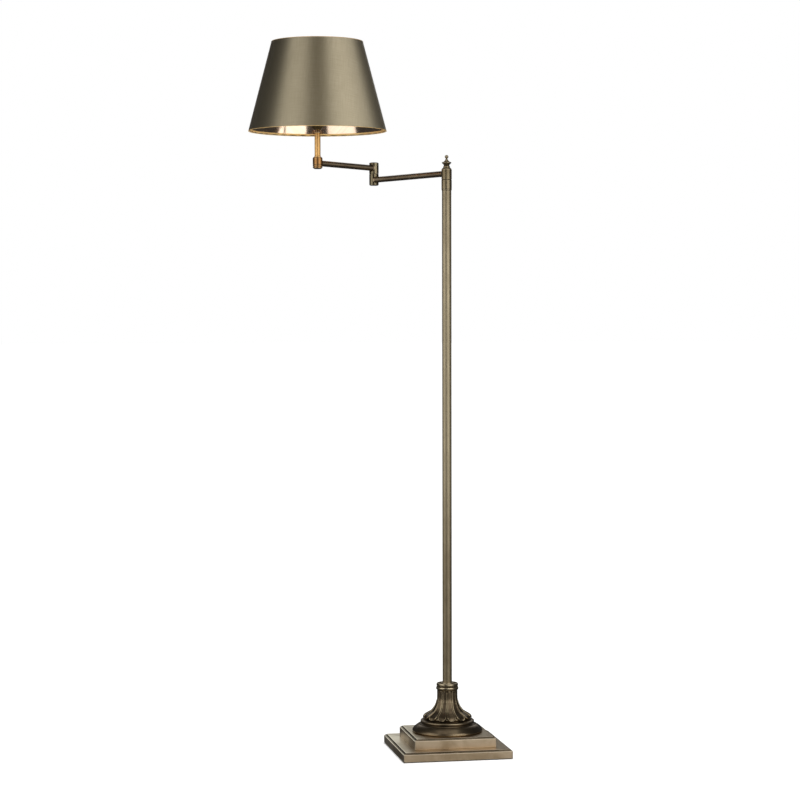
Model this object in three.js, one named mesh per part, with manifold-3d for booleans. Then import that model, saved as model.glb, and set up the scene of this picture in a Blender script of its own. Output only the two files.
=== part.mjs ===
// Pharmacy floor lamp: a stepped square base, a fluted trumpet foot, a slim pole and a two-part swing arm
// that carries an upright stem, a lampholder and a tapered shade.
//
// Millimetres, +Z up. The origin is on the pole's axis at floor level and the base's front faces -Y.
// Heights are absolute, so pieces that stand on each other share the very same value.

import * as THREE from "three";
import { mergeVertices } from "three/addons/utils/BufferGeometryUtils.js";
import Module from "manifold-3d";

const wasm = await Module();
wasm.setup();

// ---------------------------------------------------------------- driving dimensions

const GAP = 0.3; // air between pieces that turn on each other, or that are cut to fit
const SLIP = 0.2; // radial play of a piece that slides over or into another

// Stepped base
const FELT = { thick: 1.2, inset: 4 };
const LOWER = { side: 234, face: 15.6 };
const UPPER = { side: 175.5, face: 18.9 };
const MOULDING = { rise: 3.6, ledge: 2.2, inset: 6.2, sill: 0.8 };
const PLINTH_WALL = 3;
const WEIGHT_PLAY = 0.5;
const INLET = { bore: 3.5, neck: 5, flange: 6.5, lip: 3, nut: 3 }; // the flex comes in through the back

// Fluted foot
const FOOT = { flange: 75.5, height: 88.5, neck: 21.6, neckHeight: 67, wall: 3, shelf: 6 };
const FLANGE = { nose: 2.6, step: 10.5, stepHeight: 13, rise: 2 };
const LEAVES = { count: 14, tipRadius: 52.5, tipHeight: 29, flare: 16, neckGroove: 1.4, tipGroove: 4.2 };
const BEAD = { radius: 2.4, lip: 2.3, below: 6.2 }; // the ring that the leaf tips stand over
const COLLAR = { lip: 2.3, height: 15.5, recess: 1.4 };
const SEAT_RING = { width: 4, height: 2.6 };

// Pole
const POLE = { radius: 10, wall: 1.5, length: 1079.8, socketDepth: 13.5, plug: 18 };
const ROD = { radius: 5, bore: 3.25 }; // hollow threaded rod, used wherever wires pass a screwed joint
const NUT = { flats: 16, height: 6 };
const WASHER = { radius: 14, thick: 1.6, room: 3 };
const CLAMP_ROOM = 1.4; // between the nut and the felt

// Swing arm
const ARM = { radius: 6.35, wall: 1.2 };
const INNER = { reach: 280, heading: 113.5 };
const OUTER = { reach: 214, heading: 225.7 };
const KNUCKLE = { radius: 10.5, height: 25.2, round: 2.6, wall: 3, web: 4 };
const HUB = { lip: 1, socket: 22.4, spigot: 16 };
const BUSH = { inset: 0.9, thick: 0.6 };
const SPINDLE = { radius: 4, bore: 2.6, headLip: 2.4, headThick: 2.4, nut: 4 };
const CAP = { height: 3.4, spigot: 3 };
const FINIAL = {
  height: 26.4,
  foot: 7.4,
  waist: 5.9,
  waistHeight: 4.4,
  edge: 10.4,
  edgeHeight: 10.3,
  neck: 1.7,
  ball: 3.95,
};
const FINIAL_STUD = 9; // how far the finial screws down into the spindle

// Head
const STEM = { length: 49.8, washer: 2.6, washerLip: 0.75 };
const HEAD_CAP = { below: 1.05 }; // the parting line of the head barrel is this far under the arm tube
const HOLDER = {
  ring: 5.6,
  ringLip: 0.55,
  dome: 27,
  wall: 1.2,
  skirt: 32,
  seat: 8,
  seatLip: 3,
  seatThick: 1.6,
};
const INSERT = { wall: 2.4, floor: 5, height: 26, play: 2.1 };
const CONTACT = { radius: 4, height: 2.2 };
const SHADE_NUT = { rim: 2.4, height: 6 };
const KNOB = { radius: 4.6, length: 11, shaft: 2, drop: 6.4 };
const BULB = { radius: 30, height: 104, capRadius: 13, capHeight: 25, glass: 1 };

// Shade
const SHADE = { bottom: 148.7, top: 98.3, height: 192, drop: 37.9, cover: 0.8, lining: 0.4, glue: 0.1 };
const WIRE = { radius: 1.3, clearance: 0.2 };
const HEM = { thick: 0.6, mouth: 70 }; // rolled trim round the wire, open by this many degrees
const SPIDER = { wire: 1.3, spokes: 3, ring: 3.6, ringThick: 2.4, first: 90 };

// Facets round a turned piece, by its size
const SMALL = 16;
const ROUND = 24;
const WIDE = 40;

// ---------------------------------------------------------------- heights and places worked out from them

const lowerBottom = FELT.thick;
const lowerTop = lowerBottom + LOWER.face + MOULDING.rise;
const upperTop = lowerTop + UPPER.face + MOULDING.rise;
const footTop = upperTop + FOOT.height;
const collarTop = footTop + COLLAR.height;
const poleBottom = footTop - POLE.socketDepth;
const poleTop = poleBottom + POLE.length;
const poleBore = POLE.radius - POLE.wall;
const collarRadius = FOOT.neck + COLLAR.lip;
const seatRadius = POLE.radius + SEAT_RING.width;
const hubRadius = POLE.radius + HUB.lip;
const spindleHead = SPINDLE.radius + SPINDLE.headLip;
const holderRadius = BULB.capRadius + INSERT.play + INSERT.wall + GAP + HOLDER.wall;
const holderFoot = ARM.radius + HOLDER.ringLip;

const hubSocketTop = poleTop + HUB.socket;
const lowKnuckle = hubSocketTop + BUSH.thick + GAP;
const innerAxis = lowKnuckle + KNUCKLE.height / 2;
const lowKnuckleTop = lowKnuckle + KNUCKLE.height;
const highKnuckle = lowKnuckleTop + BUSH.thick + GAP;
const outerAxis = highKnuckle + KNUCKLE.height / 2;
const highKnuckleTop = highKnuckle + KNUCKLE.height;

const headCapHeight = KNUCKLE.height / 2 - ARM.radius - HEAD_CAP.below;
const stemBottom = highKnuckleTop + STEM.washer;
const stemTop = stemBottom + STEM.length;
const holderBottom = stemTop + HOLDER.ring;
const skirtBottom = holderBottom + HOLDER.dome;
const skirtTop = skirtBottom + HOLDER.skirt;
const shadeSeat = skirtBottom + HOLDER.seat;
const spiderBottom = shadeSeat + GAP;
const spiderTop = spiderBottom + SPIDER.ringThick;
const shadeBottom = shadeSeat - SHADE.drop;
const shadeTop = shadeBottom + SHADE.height;
const shaftLine = skirtBottom - KNOB.drop;

// ---------------------------------------------------------------- finishes

function finish(color, roughness, metalness) {
  return new THREE.MeshStandardMaterial({ color, roughness, metalness });
}

const bronze = finish(0x8b7a5c, 0.38, 0.9);
const darkBronze = finish(0x5a4732, 0.42, 0.9);
const goldBrass = finish(0xd0a462, 0.3, 0.95);
const rawBrass = finish(0xc9a55c, 0.35, 0.95);
const steel = finish(0x9a9b98, 0.4, 0.9);
const iron = finish(0x3c3b39, 0.8, 0.4);
const felt = finish(0x2b2a27, 1, 0);
const rubber = finish(0x1d1c1a, 0.8, 0);
const ceramic = finish(0xe8e4da, 0.5, 0);
const frosted = finish(0xf4f1ea, 0.4, 0);
const shadeFabric = finish(0x8f8670, 0.5, 0.3);
const copperFoil = finish(0xd9a877, 0.25, 0.9);
const nylon = finish(0xd8d4c6, 0.6, 0);

// ---------------------------------------------------------------- helpers

const radians = THREE.MathUtils.degToRad;

// Points of a circular arc round (r, z), from one angle to another in degrees.
function arc(r, z, radius, from, to, steps = 3) {
  const angle = (i) => radians(from + ((to - from) * i) / steps);
  return Array.from({ length: steps + 1 }, (_, i) => [
    r + radius * Math.cos(angle(i)),
    z + radius * Math.sin(angle(i)),
  ]);
}

// Signed volume of a triangle mesh: negative when its faces point inwards.
function signedVolume(geometry) {
  const p = geometry.getAttribute("position");
  const index = geometry.index.array;
  const [a, b, c] = [new THREE.Vector3(), new THREE.Vector3(), new THREE.Vector3()];
  let sum = 0;
  for (let i = 0; i < index.length; i += 3) {
    a.fromBufferAttribute(p, index[i]);
    b.fromBufferAttribute(p, index[i + 1]);
    c.fromBufferAttribute(p, index[i + 2]);
    sum += a.dot(b.cross(c));
  }
  return sum / 6;
}

// A geometry with shared vertices, no collapsed triangles and faces that point out.
function tidy(geometry) {
  const bare = new THREE.BufferGeometry();
  bare.setAttribute("position", geometry.getAttribute("position"));
  bare.setIndex(geometry.index);
  const merged = mergeVertices(bare, 1e-4);
  const kept = [];
  const index = merged.index.array;
  for (let i = 0; i < index.length; i += 3) {
    const [a, b, c] = [index[i], index[i + 1], index[i + 2]];
    if (a !== b && b !== c && c !== a) kept.push(a, b, c);
  }
  merged.setIndex(kept);
  if (signedVolume(merged) < 0) {
    for (let i = 0; i < kept.length; i += 3) [kept[i + 1], kept[i + 2]] = [kept[i + 2], kept[i + 1]];
    merged.setIndex(kept);
  }
  merged.computeVertexNormals();
  return merged;
}

// Revolves an outline of [radius, height] round the Z axis. An outline that doesn't begin and end on the
// axis is closed on itself.
function turned(outline, sides) {
  const points = outline.map(([r, z]) => new THREE.Vector2(r, z));
  const first = points[0];
  const last = points[points.length - 1];
  if (first.x > 0 || last.x > 0) points.push(first.clone());
  const geometry = new THREE.LatheGeometry(points, sides);
  geometry.rotateX(Math.PI / 2);
  return tidy(geometry);
}

// A plain ring or tube between two radii and two heights.
function ring(inner, outer, bottom, top, sides) {
  return turned([[inner, bottom], [outer, bottom], [outer, top], [inner, top]], sides);
}

// A square frame swept like a turned piece: radii are half-sides, so mitres come out at the corners.
function squared(outline) {
  const corners = outline.map(([half, z]) => [half * Math.SQRT2, z]);
  return turned(corners, 4).rotateZ(Math.PI / 4);
}

function solid(geometry) {
  const shared = tidy(geometry);
  return new wasm.Manifold(
    new wasm.Mesh({
      numProp: 3,
      vertProperties: Float32Array.from(shared.getAttribute("position").array),
      triVerts: Uint32Array.from(shared.index.array),
    }),
  );
}

function fromSolid(manifold) {
  const mesh = manifold.getMesh();
  const geometry = new THREE.BufferGeometry();
  geometry.setAttribute("position", new THREE.BufferAttribute(Float32Array.from(mesh.vertProperties), 3));
  geometry.setIndex(Array.from(mesh.triVerts));
  geometry.computeVertexNormals();
  return geometry;
}

// One body less every tool.
function cut(body, ...tools) {
  const left = tools.reduce((rest, tool) => rest.subtract(solid(tool)), solid(body));
  return fromSolid(left);
}

// Several bodies as one.
function weld(...bodies) {
  return fromSolid(bodies.map(solid).reduce((all, next) => all.add(next)));
}

// A round bar along +X from one x to another, at height z.
function barX(radius, from, to, z, sides = ROUND) {
  const bar = new THREE.CylinderGeometry(radius, radius, to - from, sides);
  return bar.rotateZ(-Math.PI / 2).translate((from + to) / 2, 0, z);
}

// The same along +Y.
function barY(radius, from, to, z, sides = ROUND) {
  return barX(radius, from, to, z, sides).rotateZ(Math.PI / 2);
}

function node(name, geometry, material) {
  const mesh = new THREE.Mesh(geometry, material);
  mesh.name = name;
  return mesh;
}

// ---------------------------------------------------------------- stepped base

// The moulded top edge that both plinths share: a sill on the face, a ledge, then a quarter-round up to
// the top.
function mouldedEdge(half, faceTop, top) {
  const { ledge, inset, sill } = MOULDING;
  const reach = inset - ledge;
  const climb = top - faceTop - sill;
  const quarter = Array.from({ length: 4 }, (_, i) => radians(30 * i)).map((a) => [
    half - ledge - reach * (1 - Math.cos(a)),
    faceTop + sill + climb * Math.sin(a),
  ]);
  return [[half, faceTop], [half - sill, faceTop + sill], ...quarter];
}

function plinthShell(side, bottom, face, hole) {
  const half = side / 2;
  const top = bottom + face + MOULDING.rise;
  const roof = top - PLINTH_WALL;
  const shell = squared([
    [0, roof],
    [half - PLINTH_WALL, roof],
    [half - PLINTH_WALL, bottom],
    [half, bottom],
    ...mouldedEdge(half, bottom + face, top),
    [0, top],
  ]);
  return cut(shell, ring(0, hole, roof - 1, top + 1, ROUND));
}

function makeStepBase() {
  const base = new THREE.Group();
  const rodHole = ROD.radius + GAP;
  const half = LOWER.side / 2;
  const inletHeight = lowerBottom + LOWER.face / 2;
  const insideWall = half - PLINTH_WALL;

  const feltHalf = half - FELT.inset;
  const pad = squared([[0, 0], [feltHalf, 0], [feltHalf, FELT.thick], [0, FELT.thick]]);
  base.add(node("felt_pad", pad, felt));

  const inletHole = barY(INLET.neck + SLIP, insideWall - 1, half + 1, inletHeight, SMALL);
  const lower = cut(plinthShell(LOWER.side, lowerBottom, LOWER.face, rodHole), inletHole);
  base.add(node("lower_plinth", lower, bronze));
  base.add(node("upper_plinth", plinthShell(UPPER.side, lowerTop, UPPER.face, rodHole), bronze));

  // The iron weight fills the lower plinth. A counterbore takes the nut, and a channel brings the flex
  // to it.
  const weightHalf = insideWall - WEIGHT_PLAY;
  const weightTop = lowerTop - PLINTH_WALL;
  const clampHeight = lowerBottom + CLAMP_ROOM + NUT.height + WASHER.thick;
  const channelHalf = INLET.flange + 1;
  const slab = squared([
    [0, lowerBottom],
    [weightHalf, lowerBottom],
    [weightHalf, weightTop],
    [0, weightTop],
  ]);
  const channel = new THREE.BoxGeometry(2 * channelHalf, half, clampHeight + 4);
  channel.translate(0, half / 2 + WASHER.radius, (clampHeight + 4) / 2 - 1);
  const weight = cut(
    slab,
    ring(0, WASHER.radius + WASHER.room, 0, clampHeight, ROUND),
    ring(0, rodHole, 0, weightTop + 1, ROUND),
    channel,
    barY(channelHalf, insideWall - WEIGHT_PLAY - INLET.nut - 2, half, inletHeight, SMALL),
  );
  base.add(node("base_weight", weight, iron));

  const washerBottom = clampHeight - WASHER.thick;
  const nutBottom = washerBottom - NUT.height;
  const nutCorner = NUT.flats / Math.sqrt(3);
  const tapped = ROD.radius + SLIP;
  base.add(node("base_washer", ring(tapped, WASHER.radius, washerBottom, clampHeight, ROUND), steel));
  const nut = cut(
    turned([[0, nutBottom], [nutCorner, nutBottom], [nutCorner, washerBottom], [0, washerBottom]], 6),
    ring(0, tapped, nutBottom - 1, washerBottom + 1, SMALL),
  );
  base.add(node("base_nut", nut, steel));

  // Inlet for the flex: a bush through the back wall, held by a thin nut inside.
  const bush = turned(
    [
      [INLET.bore, insideWall - INLET.nut - GAP],
      [INLET.neck, insideWall - INLET.nut - GAP],
      [INLET.neck, half + GAP],
      [INLET.flange, half + GAP],
      [INLET.flange - 1, half + INLET.lip],
      [INLET.bore, half + INLET.lip],
    ],
    SMALL,
  );
  base.add(node("cord_bush", bush.rotateX(-Math.PI / 2).translate(0, 0, inletHeight), rubber));
  const bushNut = ring(INLET.neck + SLIP, INLET.flange, insideWall - INLET.nut, insideWall - GAP, SMALL);
  base.add(node("cord_bush_nut", bushNut.rotateX(-Math.PI / 2).translate(0, 0, inletHeight), rubber));
  return base;
}

// ---------------------------------------------------------------- fluted foot and pole

// The trumpet's outline between its neck and the leaf tips, top to bottom, as [radius, height].
function trumpet(steps) {
  const { neck, neckHeight } = FOOT;
  const { tipRadius, tipHeight, flare } = LEAVES;
  const curve = new THREE.CubicBezierCurve(
    new THREE.Vector2(neck, upperTop + neckHeight),
    new THREE.Vector2(neck + 1.5, upperTop + neckHeight - 14),
    new THREE.Vector2(neck + (tipRadius - neck) * 0.3, upperTop + tipHeight + flare),
    new THREE.Vector2(tipRadius, upperTop + tipHeight),
  );
  return curve.getPoints(steps).map((p) => [p.x, p.y]);
}

// Outer flange of the foot, bottom to top: a round nose, a slope, a step and the bead under the leaves.
function footFlange() {
  const { nose, step, stepHeight, rise } = FLANGE;
  const beadRadius = LEAVES.tipRadius + BEAD.lip;
  const beadHeight = upperTop + LEAVES.tipHeight - BEAD.below;
  return [
    [FOOT.flange - nose + 0.6, upperTop],
    ...arc(FOOT.flange - nose, upperTop + nose + 0.3, nose, -50, 65, 2),
    [FOOT.flange - step * 0.6, upperTop + stepHeight * 0.75],
    [FOOT.flange - step, upperTop + stepHeight],
    [FOOT.flange - step - 1.5, upperTop + stepHeight + rise],
    ...arc(beadRadius, beadHeight, BEAD.radius, -50, 80, 3),
    [LEAVES.tipRadius - 1.5, upperTop + LEAVES.tipHeight - BEAD.radius],
  ];
}

function makeFoot() {
  const { neck, wall, flange, shelf } = FOOT;
  const { count, tipRadius, tipHeight, neckGroove, tipGroove } = LEAVES;
  const leafRows = trumpet(7).reverse();
  const flangeRows = footFlange();
  const inside = [
    [POLE.radius + SLIP, footTop],
    [POLE.radius + SLIP, poleBottom],
    [ROD.radius + 1, poleBottom],
    [ROD.radius + 1, poleBottom - shelf],
    [neck - wall, poleBottom - 14],
    [neck + 4, upperTop + tipHeight + 10],
    [tipRadius - 3 * wall, upperTop + tipHeight - 12],
    [flange - 4 * wall, upperTop],
  ];
  const rows = [...flangeRows, ...leafRows, [neck, footTop], ...inside, flangeRows[0]];
  const columns = 4 * count;
  const lathe = new THREE.LatheGeometry(rows.map(([r, z]) => new THREE.Vector2(r, z)), columns);
  lathe.rotateX(Math.PI / 2);

  // Leaves: the flared stretch sinks between them, deeper towards the tips. A leaf's middle faces -Y.
  const position = lathe.getAttribute("position");
  for (let column = 0; column <= columns; column++) {
    const between = (1 - Math.cos((2 * Math.PI * count * column) / columns)) / 2;
    for (let row = 0; row < leafRows.length; row++) {
      const i = column * rows.length + flangeRows.length + row;
      const depth = between * THREE.MathUtils.lerp(tipGroove, neckGroove, row / (leafRows.length - 1));
      const radius = Math.hypot(position.getX(i), position.getY(i));
      const scale = (radius - depth) / radius;
      position.setX(i, position.getX(i) * scale);
      position.setY(i, position.getY(i) * scale);
    }
  }
  return node("fluted_foot", tidy(lathe), darkBronze);
}

function makeCollar() {
  const radius = collarRadius;
  const bore = POLE.radius + SLIP;
  const floor = collarTop - COLLAR.recess;
  const outline = [
    [bore, footTop],
    [radius - 1.6, footTop],
    ...arc(radius - 2.6, footTop + 3.8, 2.6, -60, 60, 4),
    [radius - 1.9, footTop + 8],
    ...arc(radius - 2.4, footTop + 11.3, 2, -40, 80, 4),
    [radius - 4.5, collarTop],
    [seatRadius + 1.2, floor],
    [bore, floor],
  ];
  return node("foot_collar", turned(outline, 32), bronze);
}

function makePole() {
  const pole = new THREE.Group();
  const bore = POLE.radius + SLIP;
  const floor = collarTop - COLLAR.recess;
  const seat = [
    [bore, floor],
    [seatRadius, floor],
    ...arc(seatRadius - 1, floor + SEAT_RING.height - 1, 1, 0, 90, 2),
    [bore, floor + SEAT_RING.height],
  ];
  pole.add(node("seat_ring", turned(seat, ROUND), bronze));
  pole.add(node("pole_tube", ring(poleBore, POLE.radius, poleBottom, poleTop, 32), bronze));

  const plugRadius = poleBore - SLIP;
  const tapped = ROD.radius + SLIP;
  const plugTop = poleBottom + POLE.plug;
  pole.add(node("pole_plug", ring(tapped, plugRadius, poleBottom, plugTop, ROUND), rawBrass));
  pole.add(node("base_rod", ring(ROD.bore, ROD.radius, lowerBottom + 0.8, plugTop - 2, SMALL), steel));

  // The fixed half of the hub: a turned socket whose spigot goes down the pole.
  const spigotBottom = poleTop - HUB.spigot;
  const spindleBore = SPINDLE.radius + SLIP;
  const socket = [
    [spindleBore, spigotBottom],
    [plugRadius, spigotBottom],
    [plugRadius, poleTop],
    [hubRadius - 0.7, poleTop],
    [hubRadius, poleTop + 0.9],
    [hubRadius, hubSocketTop],
    [spindleBore, hubSocketTop],
  ];
  pole.add(node("hub_socket", turned(socket, ROUND), bronze));
  const bush = ring(spindleBore, hubRadius - BUSH.inset, hubSocketTop, hubSocketTop + BUSH.thick, ROUND);
  pole.add(node("hub_bush", bush, nylon));

  // Hollow spindle that the arm turns on, with a side hole where the wires leave it for the arm.
  const spindle = ring(SPINDLE.bore, SPINDLE.radius, spigotBottom + 2, lowKnuckleTop - GAP, SMALL);
  const wireHole = barX(SPINDLE.bore * 0.8, 0, 2 * SPINDLE.radius, innerAxis, 12);
  wireHole.rotateZ(radians(INNER.heading));
  pole.add(node("hub_spindle", cut(spindle, wireHole), steel));

  pole.add(node("finial", makeFinial(), bronze));
  return pole;
}

// Turned finial: a low foot, a waist, a bowl out to a sharp edge, a bell up to a thin neck and a small
// ball. Its stud screws down into the spindle.
function makeFinial() {
  const { height, foot, waist, waistHeight, edge, neck, ball } = FINIAL;
  const base = lowKnuckleTop + GAP;
  const studRadius = SPINDLE.bore - GAP;
  const ballCentre = base + height - ball;
  const neckHeight = ballCentre - ball * 0.9;
  const edgeHeight = base + FINIAL.edgeHeight;
  const bowl = new THREE.QuadraticBezierCurve(
    new THREE.Vector2(waist, base + waistHeight),
    new THREE.Vector2(waist + 0.3, base + 0.6 * FINIAL.edgeHeight),
    new THREE.Vector2(edge, edgeHeight),
  );
  const bell = new THREE.QuadraticBezierCurve(
    new THREE.Vector2(edge, edgeHeight),
    new THREE.Vector2(neck + 1.2, edgeHeight + 1.6),
    new THREE.Vector2(neck, neckHeight),
  );
  const outline = [
    [0, base - FINIAL_STUD],
    [studRadius, base - FINIAL_STUD],
    [studRadius, base],
    [foot, base],
    [foot - 0.4, base + 0.8],
    ...bowl.getPoints(4).map((p) => [p.x, p.y]),
    ...bell.getPoints(4).map((p) => [p.x, p.y]).slice(1),
    ...arc(0, ballCentre, ball, -60, 90, 5),
  ];
  outline[outline.length - 1][0] = 0;
  return turned(outline, ROUND);
}

// ---------------------------------------------------------------- knuckles

// A swivel barrel as a hollow turned piece. webAt says which end keeps the thick web that the spindle
// passes, and the other end is left open for its cap.
function barrel(bottom, top, webAt, spindleHole) {
  const { radius, wall, web } = KNUCKLE;
  const chamber = radius - wall;
  const outline =
    webAt === "top"
      ? [[chamber, bottom], [radius, bottom], [radius, top], [spindleHole, top], [spindleHole, top - web],
        [chamber, top - web]]
      : [[spindleHole, bottom], [radius, bottom], [radius, top], [chamber, top], [chamber, bottom + web],
        [spindleHole, bottom + web]];
  return turned(outline, ROUND);
}

// The hole that an arm tube enters a barrel by, along local +X or -X.
function armHole(axisHeight, side) {
  const reach = 3 * KNUCKLE.radius;
  return barX(ARM.radius + SLIP, Math.min(0, side * reach), Math.max(0, side * reach), axisHeight);
}

// A rounded end cap with a spigot. direction is 1 for a cap on top and -1 for one underneath.
function endCap(face, height, direction) {
  const { radius, wall, round } = KNUCKLE;
  const spigot = radius - wall - SLIP;
  const end = face + direction * height;
  const centre = end - direction * round;
  const edge = arc(radius - round, 0, round, 0, 90, 3).map(([r, z]) => [r, centre + direction * z]);
  return turned(
    [
      [0, face - direction * CAP.spigot],
      [spigot, face - direction * CAP.spigot],
      [spigot, face],
      [radius, face],
      ...edge,
      [0, end],
    ],
    ROUND,
  );
}

// An arm tube along +X, let into the wall of the barrel at each end.
function armTube(reach, firstBarrel, lastBarrel) {
  const letIn = KNUCKLE.wall - 2 * GAP;
  const start = firstBarrel - letIn;
  const end = reach - lastBarrel + letIn;
  return ring(ARM.radius - ARM.wall, ARM.radius, start, end, ROUND).rotateY(Math.PI / 2);
}

// ---------------------------------------------------------------- inner arm: turns on the pole

function makeInnerArm() {
  const arm = new THREE.Group();
  arm.rotation.z = radians(INNER.heading);

  const { round } = KNUCKLE;
  const bore = SPINDLE.radius + GAP;
  const chamber = hubRadius - KNUCKLE.wall;
  const hub = turned(
    [
      [bore, lowKnuckle],
      [hubRadius, lowKnuckle],
      ...arc(hubRadius - round, lowKnuckleTop - round, round, 0, 90, 3),
      [bore, lowKnuckleTop],
      [bore, lowKnuckleTop - KNUCKLE.web],
      [chamber, lowKnuckleTop - KNUCKLE.web],
      [chamber, lowKnuckle + KNUCKLE.web],
      [bore, lowKnuckle + KNUCKLE.web],
    ],
    ROUND,
  );
  arm.add(node("hub_knuckle", cut(hub, armHole(innerAxis, 1)), bronze));
  const tube = armTube(INNER.reach, hubRadius, KNUCKLE.radius).translate(0, 0, innerAxis);
  arm.add(node("inner_arm_tube", tube, bronze));

  const elbow = new THREE.Group();
  elbow.position.x = INNER.reach;
  const capFace = lowKnuckle + CAP.height;
  const low = barrel(capFace + GAP, lowKnuckleTop, "top", SPINDLE.radius + SLIP);
  elbow.add(node("elbow_low_knuckle", cut(low, armHole(innerAxis, -1)), bronze));
  elbow.add(node("elbow_low_cap", endCap(capFace, CAP.height, -1), bronze));
  const bushTop = lowKnuckleTop + BUSH.thick;
  const bush = ring(SPINDLE.radius + SLIP, KNUCKLE.radius - BUSH.inset, lowKnuckleTop, bushTop, ROUND);
  elbow.add(node("elbow_bush", bush, nylon));

  // Hollow bolt up through both webs, headed in the lower chamber and locked by a nut in the upper one.
  const headTop = lowKnuckleTop - KNUCKLE.web;
  const nutBottom = highKnuckle + KNUCKLE.web + GAP;
  const nutTop = nutBottom + SPINDLE.nut;
  const boltTop = nutTop + 1.5;
  const bolt = turned(
    [
      [SPINDLE.bore, headTop - SPINDLE.headThick],
      [spindleHead, headTop - SPINDLE.headThick],
      [spindleHead, headTop],
      [SPINDLE.radius, headTop],
      [SPINDLE.radius, boltTop],
      [SPINDLE.bore, boltTop],
    ],
    SMALL,
  );
  elbow.add(node("elbow_bolt", bolt, steel));
  const nut = cut(
    turned([[0, nutBottom], [spindleHead, nutBottom], [spindleHead, nutTop], [0, nutTop]], 6),
    ring(0, SPINDLE.radius + SLIP, nutBottom - 1, nutTop + 1, SMALL),
  );
  elbow.add(node("elbow_nut", nut, steel));
  arm.add(elbow);
  return arm;
}

// ---------------------------------------------------------------- outer arm: turns on the elbow

function makeOuterArm() {
  const arm = new THREE.Group();
  const inner = radians(INNER.heading);
  arm.position.set(INNER.reach * Math.cos(inner), INNER.reach * Math.sin(inner), 0);
  arm.rotation.z = radians(OUTER.heading);

  const capFace = highKnuckleTop - CAP.height;
  const high = barrel(highKnuckle, capFace - GAP, "bottom", SPINDLE.radius + GAP);
  arm.add(node("elbow_high_knuckle", cut(high, armHole(outerAxis, 1)), bronze));
  arm.add(node("elbow_high_cap", endCap(capFace, CAP.height, 1), bronze));
  const tube = armTube(OUTER.reach, KNUCKLE.radius, KNUCKLE.radius).translate(0, 0, outerAxis);
  arm.add(node("outer_arm_tube", tube, darkBronze));

  const head = new THREE.Group();
  head.position.x = OUTER.reach;
  const headCapFace = highKnuckle + headCapHeight;
  const knuckle = barrel(headCapFace + GAP, highKnuckleTop, "top", ROD.radius + SLIP);
  head.add(node("head_knuckle", cut(knuckle, armHole(outerAxis, -1)), goldBrass));
  head.add(node("head_cap", endCap(headCapFace, headCapHeight, -1), goldBrass));
  arm.add(head);

  // What stands on the knuckle is turned back, so the holder and shade keep the lamp's own axes.
  const upright = makeUpright();
  upright.rotation.z = -radians(OUTER.heading);
  head.add(upright);
  return arm;
}

function makeUpright() {
  const upright = new THREE.Group();
  const slide = ROD.radius + SLIP;
  const washer = ring(slide, ARM.radius + STEM.washerLip, highKnuckleTop, stemBottom, ROUND);
  upright.add(node("stem_washer", washer, goldBrass));
  upright.add(node("stem_tube", ring(slide, ARM.radius, stemBottom, stemTop, ROUND), goldBrass));
  const rodBottom = highKnuckleTop - KNUCKLE.web;
  const rodTop = holderBottom + 4;
  upright.add(node("stem_rod", ring(ROD.bore, ROD.radius, rodBottom, rodTop, SMALL), steel));
  upright.add(node("holder_ring", ring(slide, holderFoot, stemTop, holderBottom, ROUND), darkBronze));
  upright.add(makeHolder());
  upright.add(makeBulb());
  upright.add(makeShade());
  return upright;
}

// ---------------------------------------------------------------- lampholder

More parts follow.
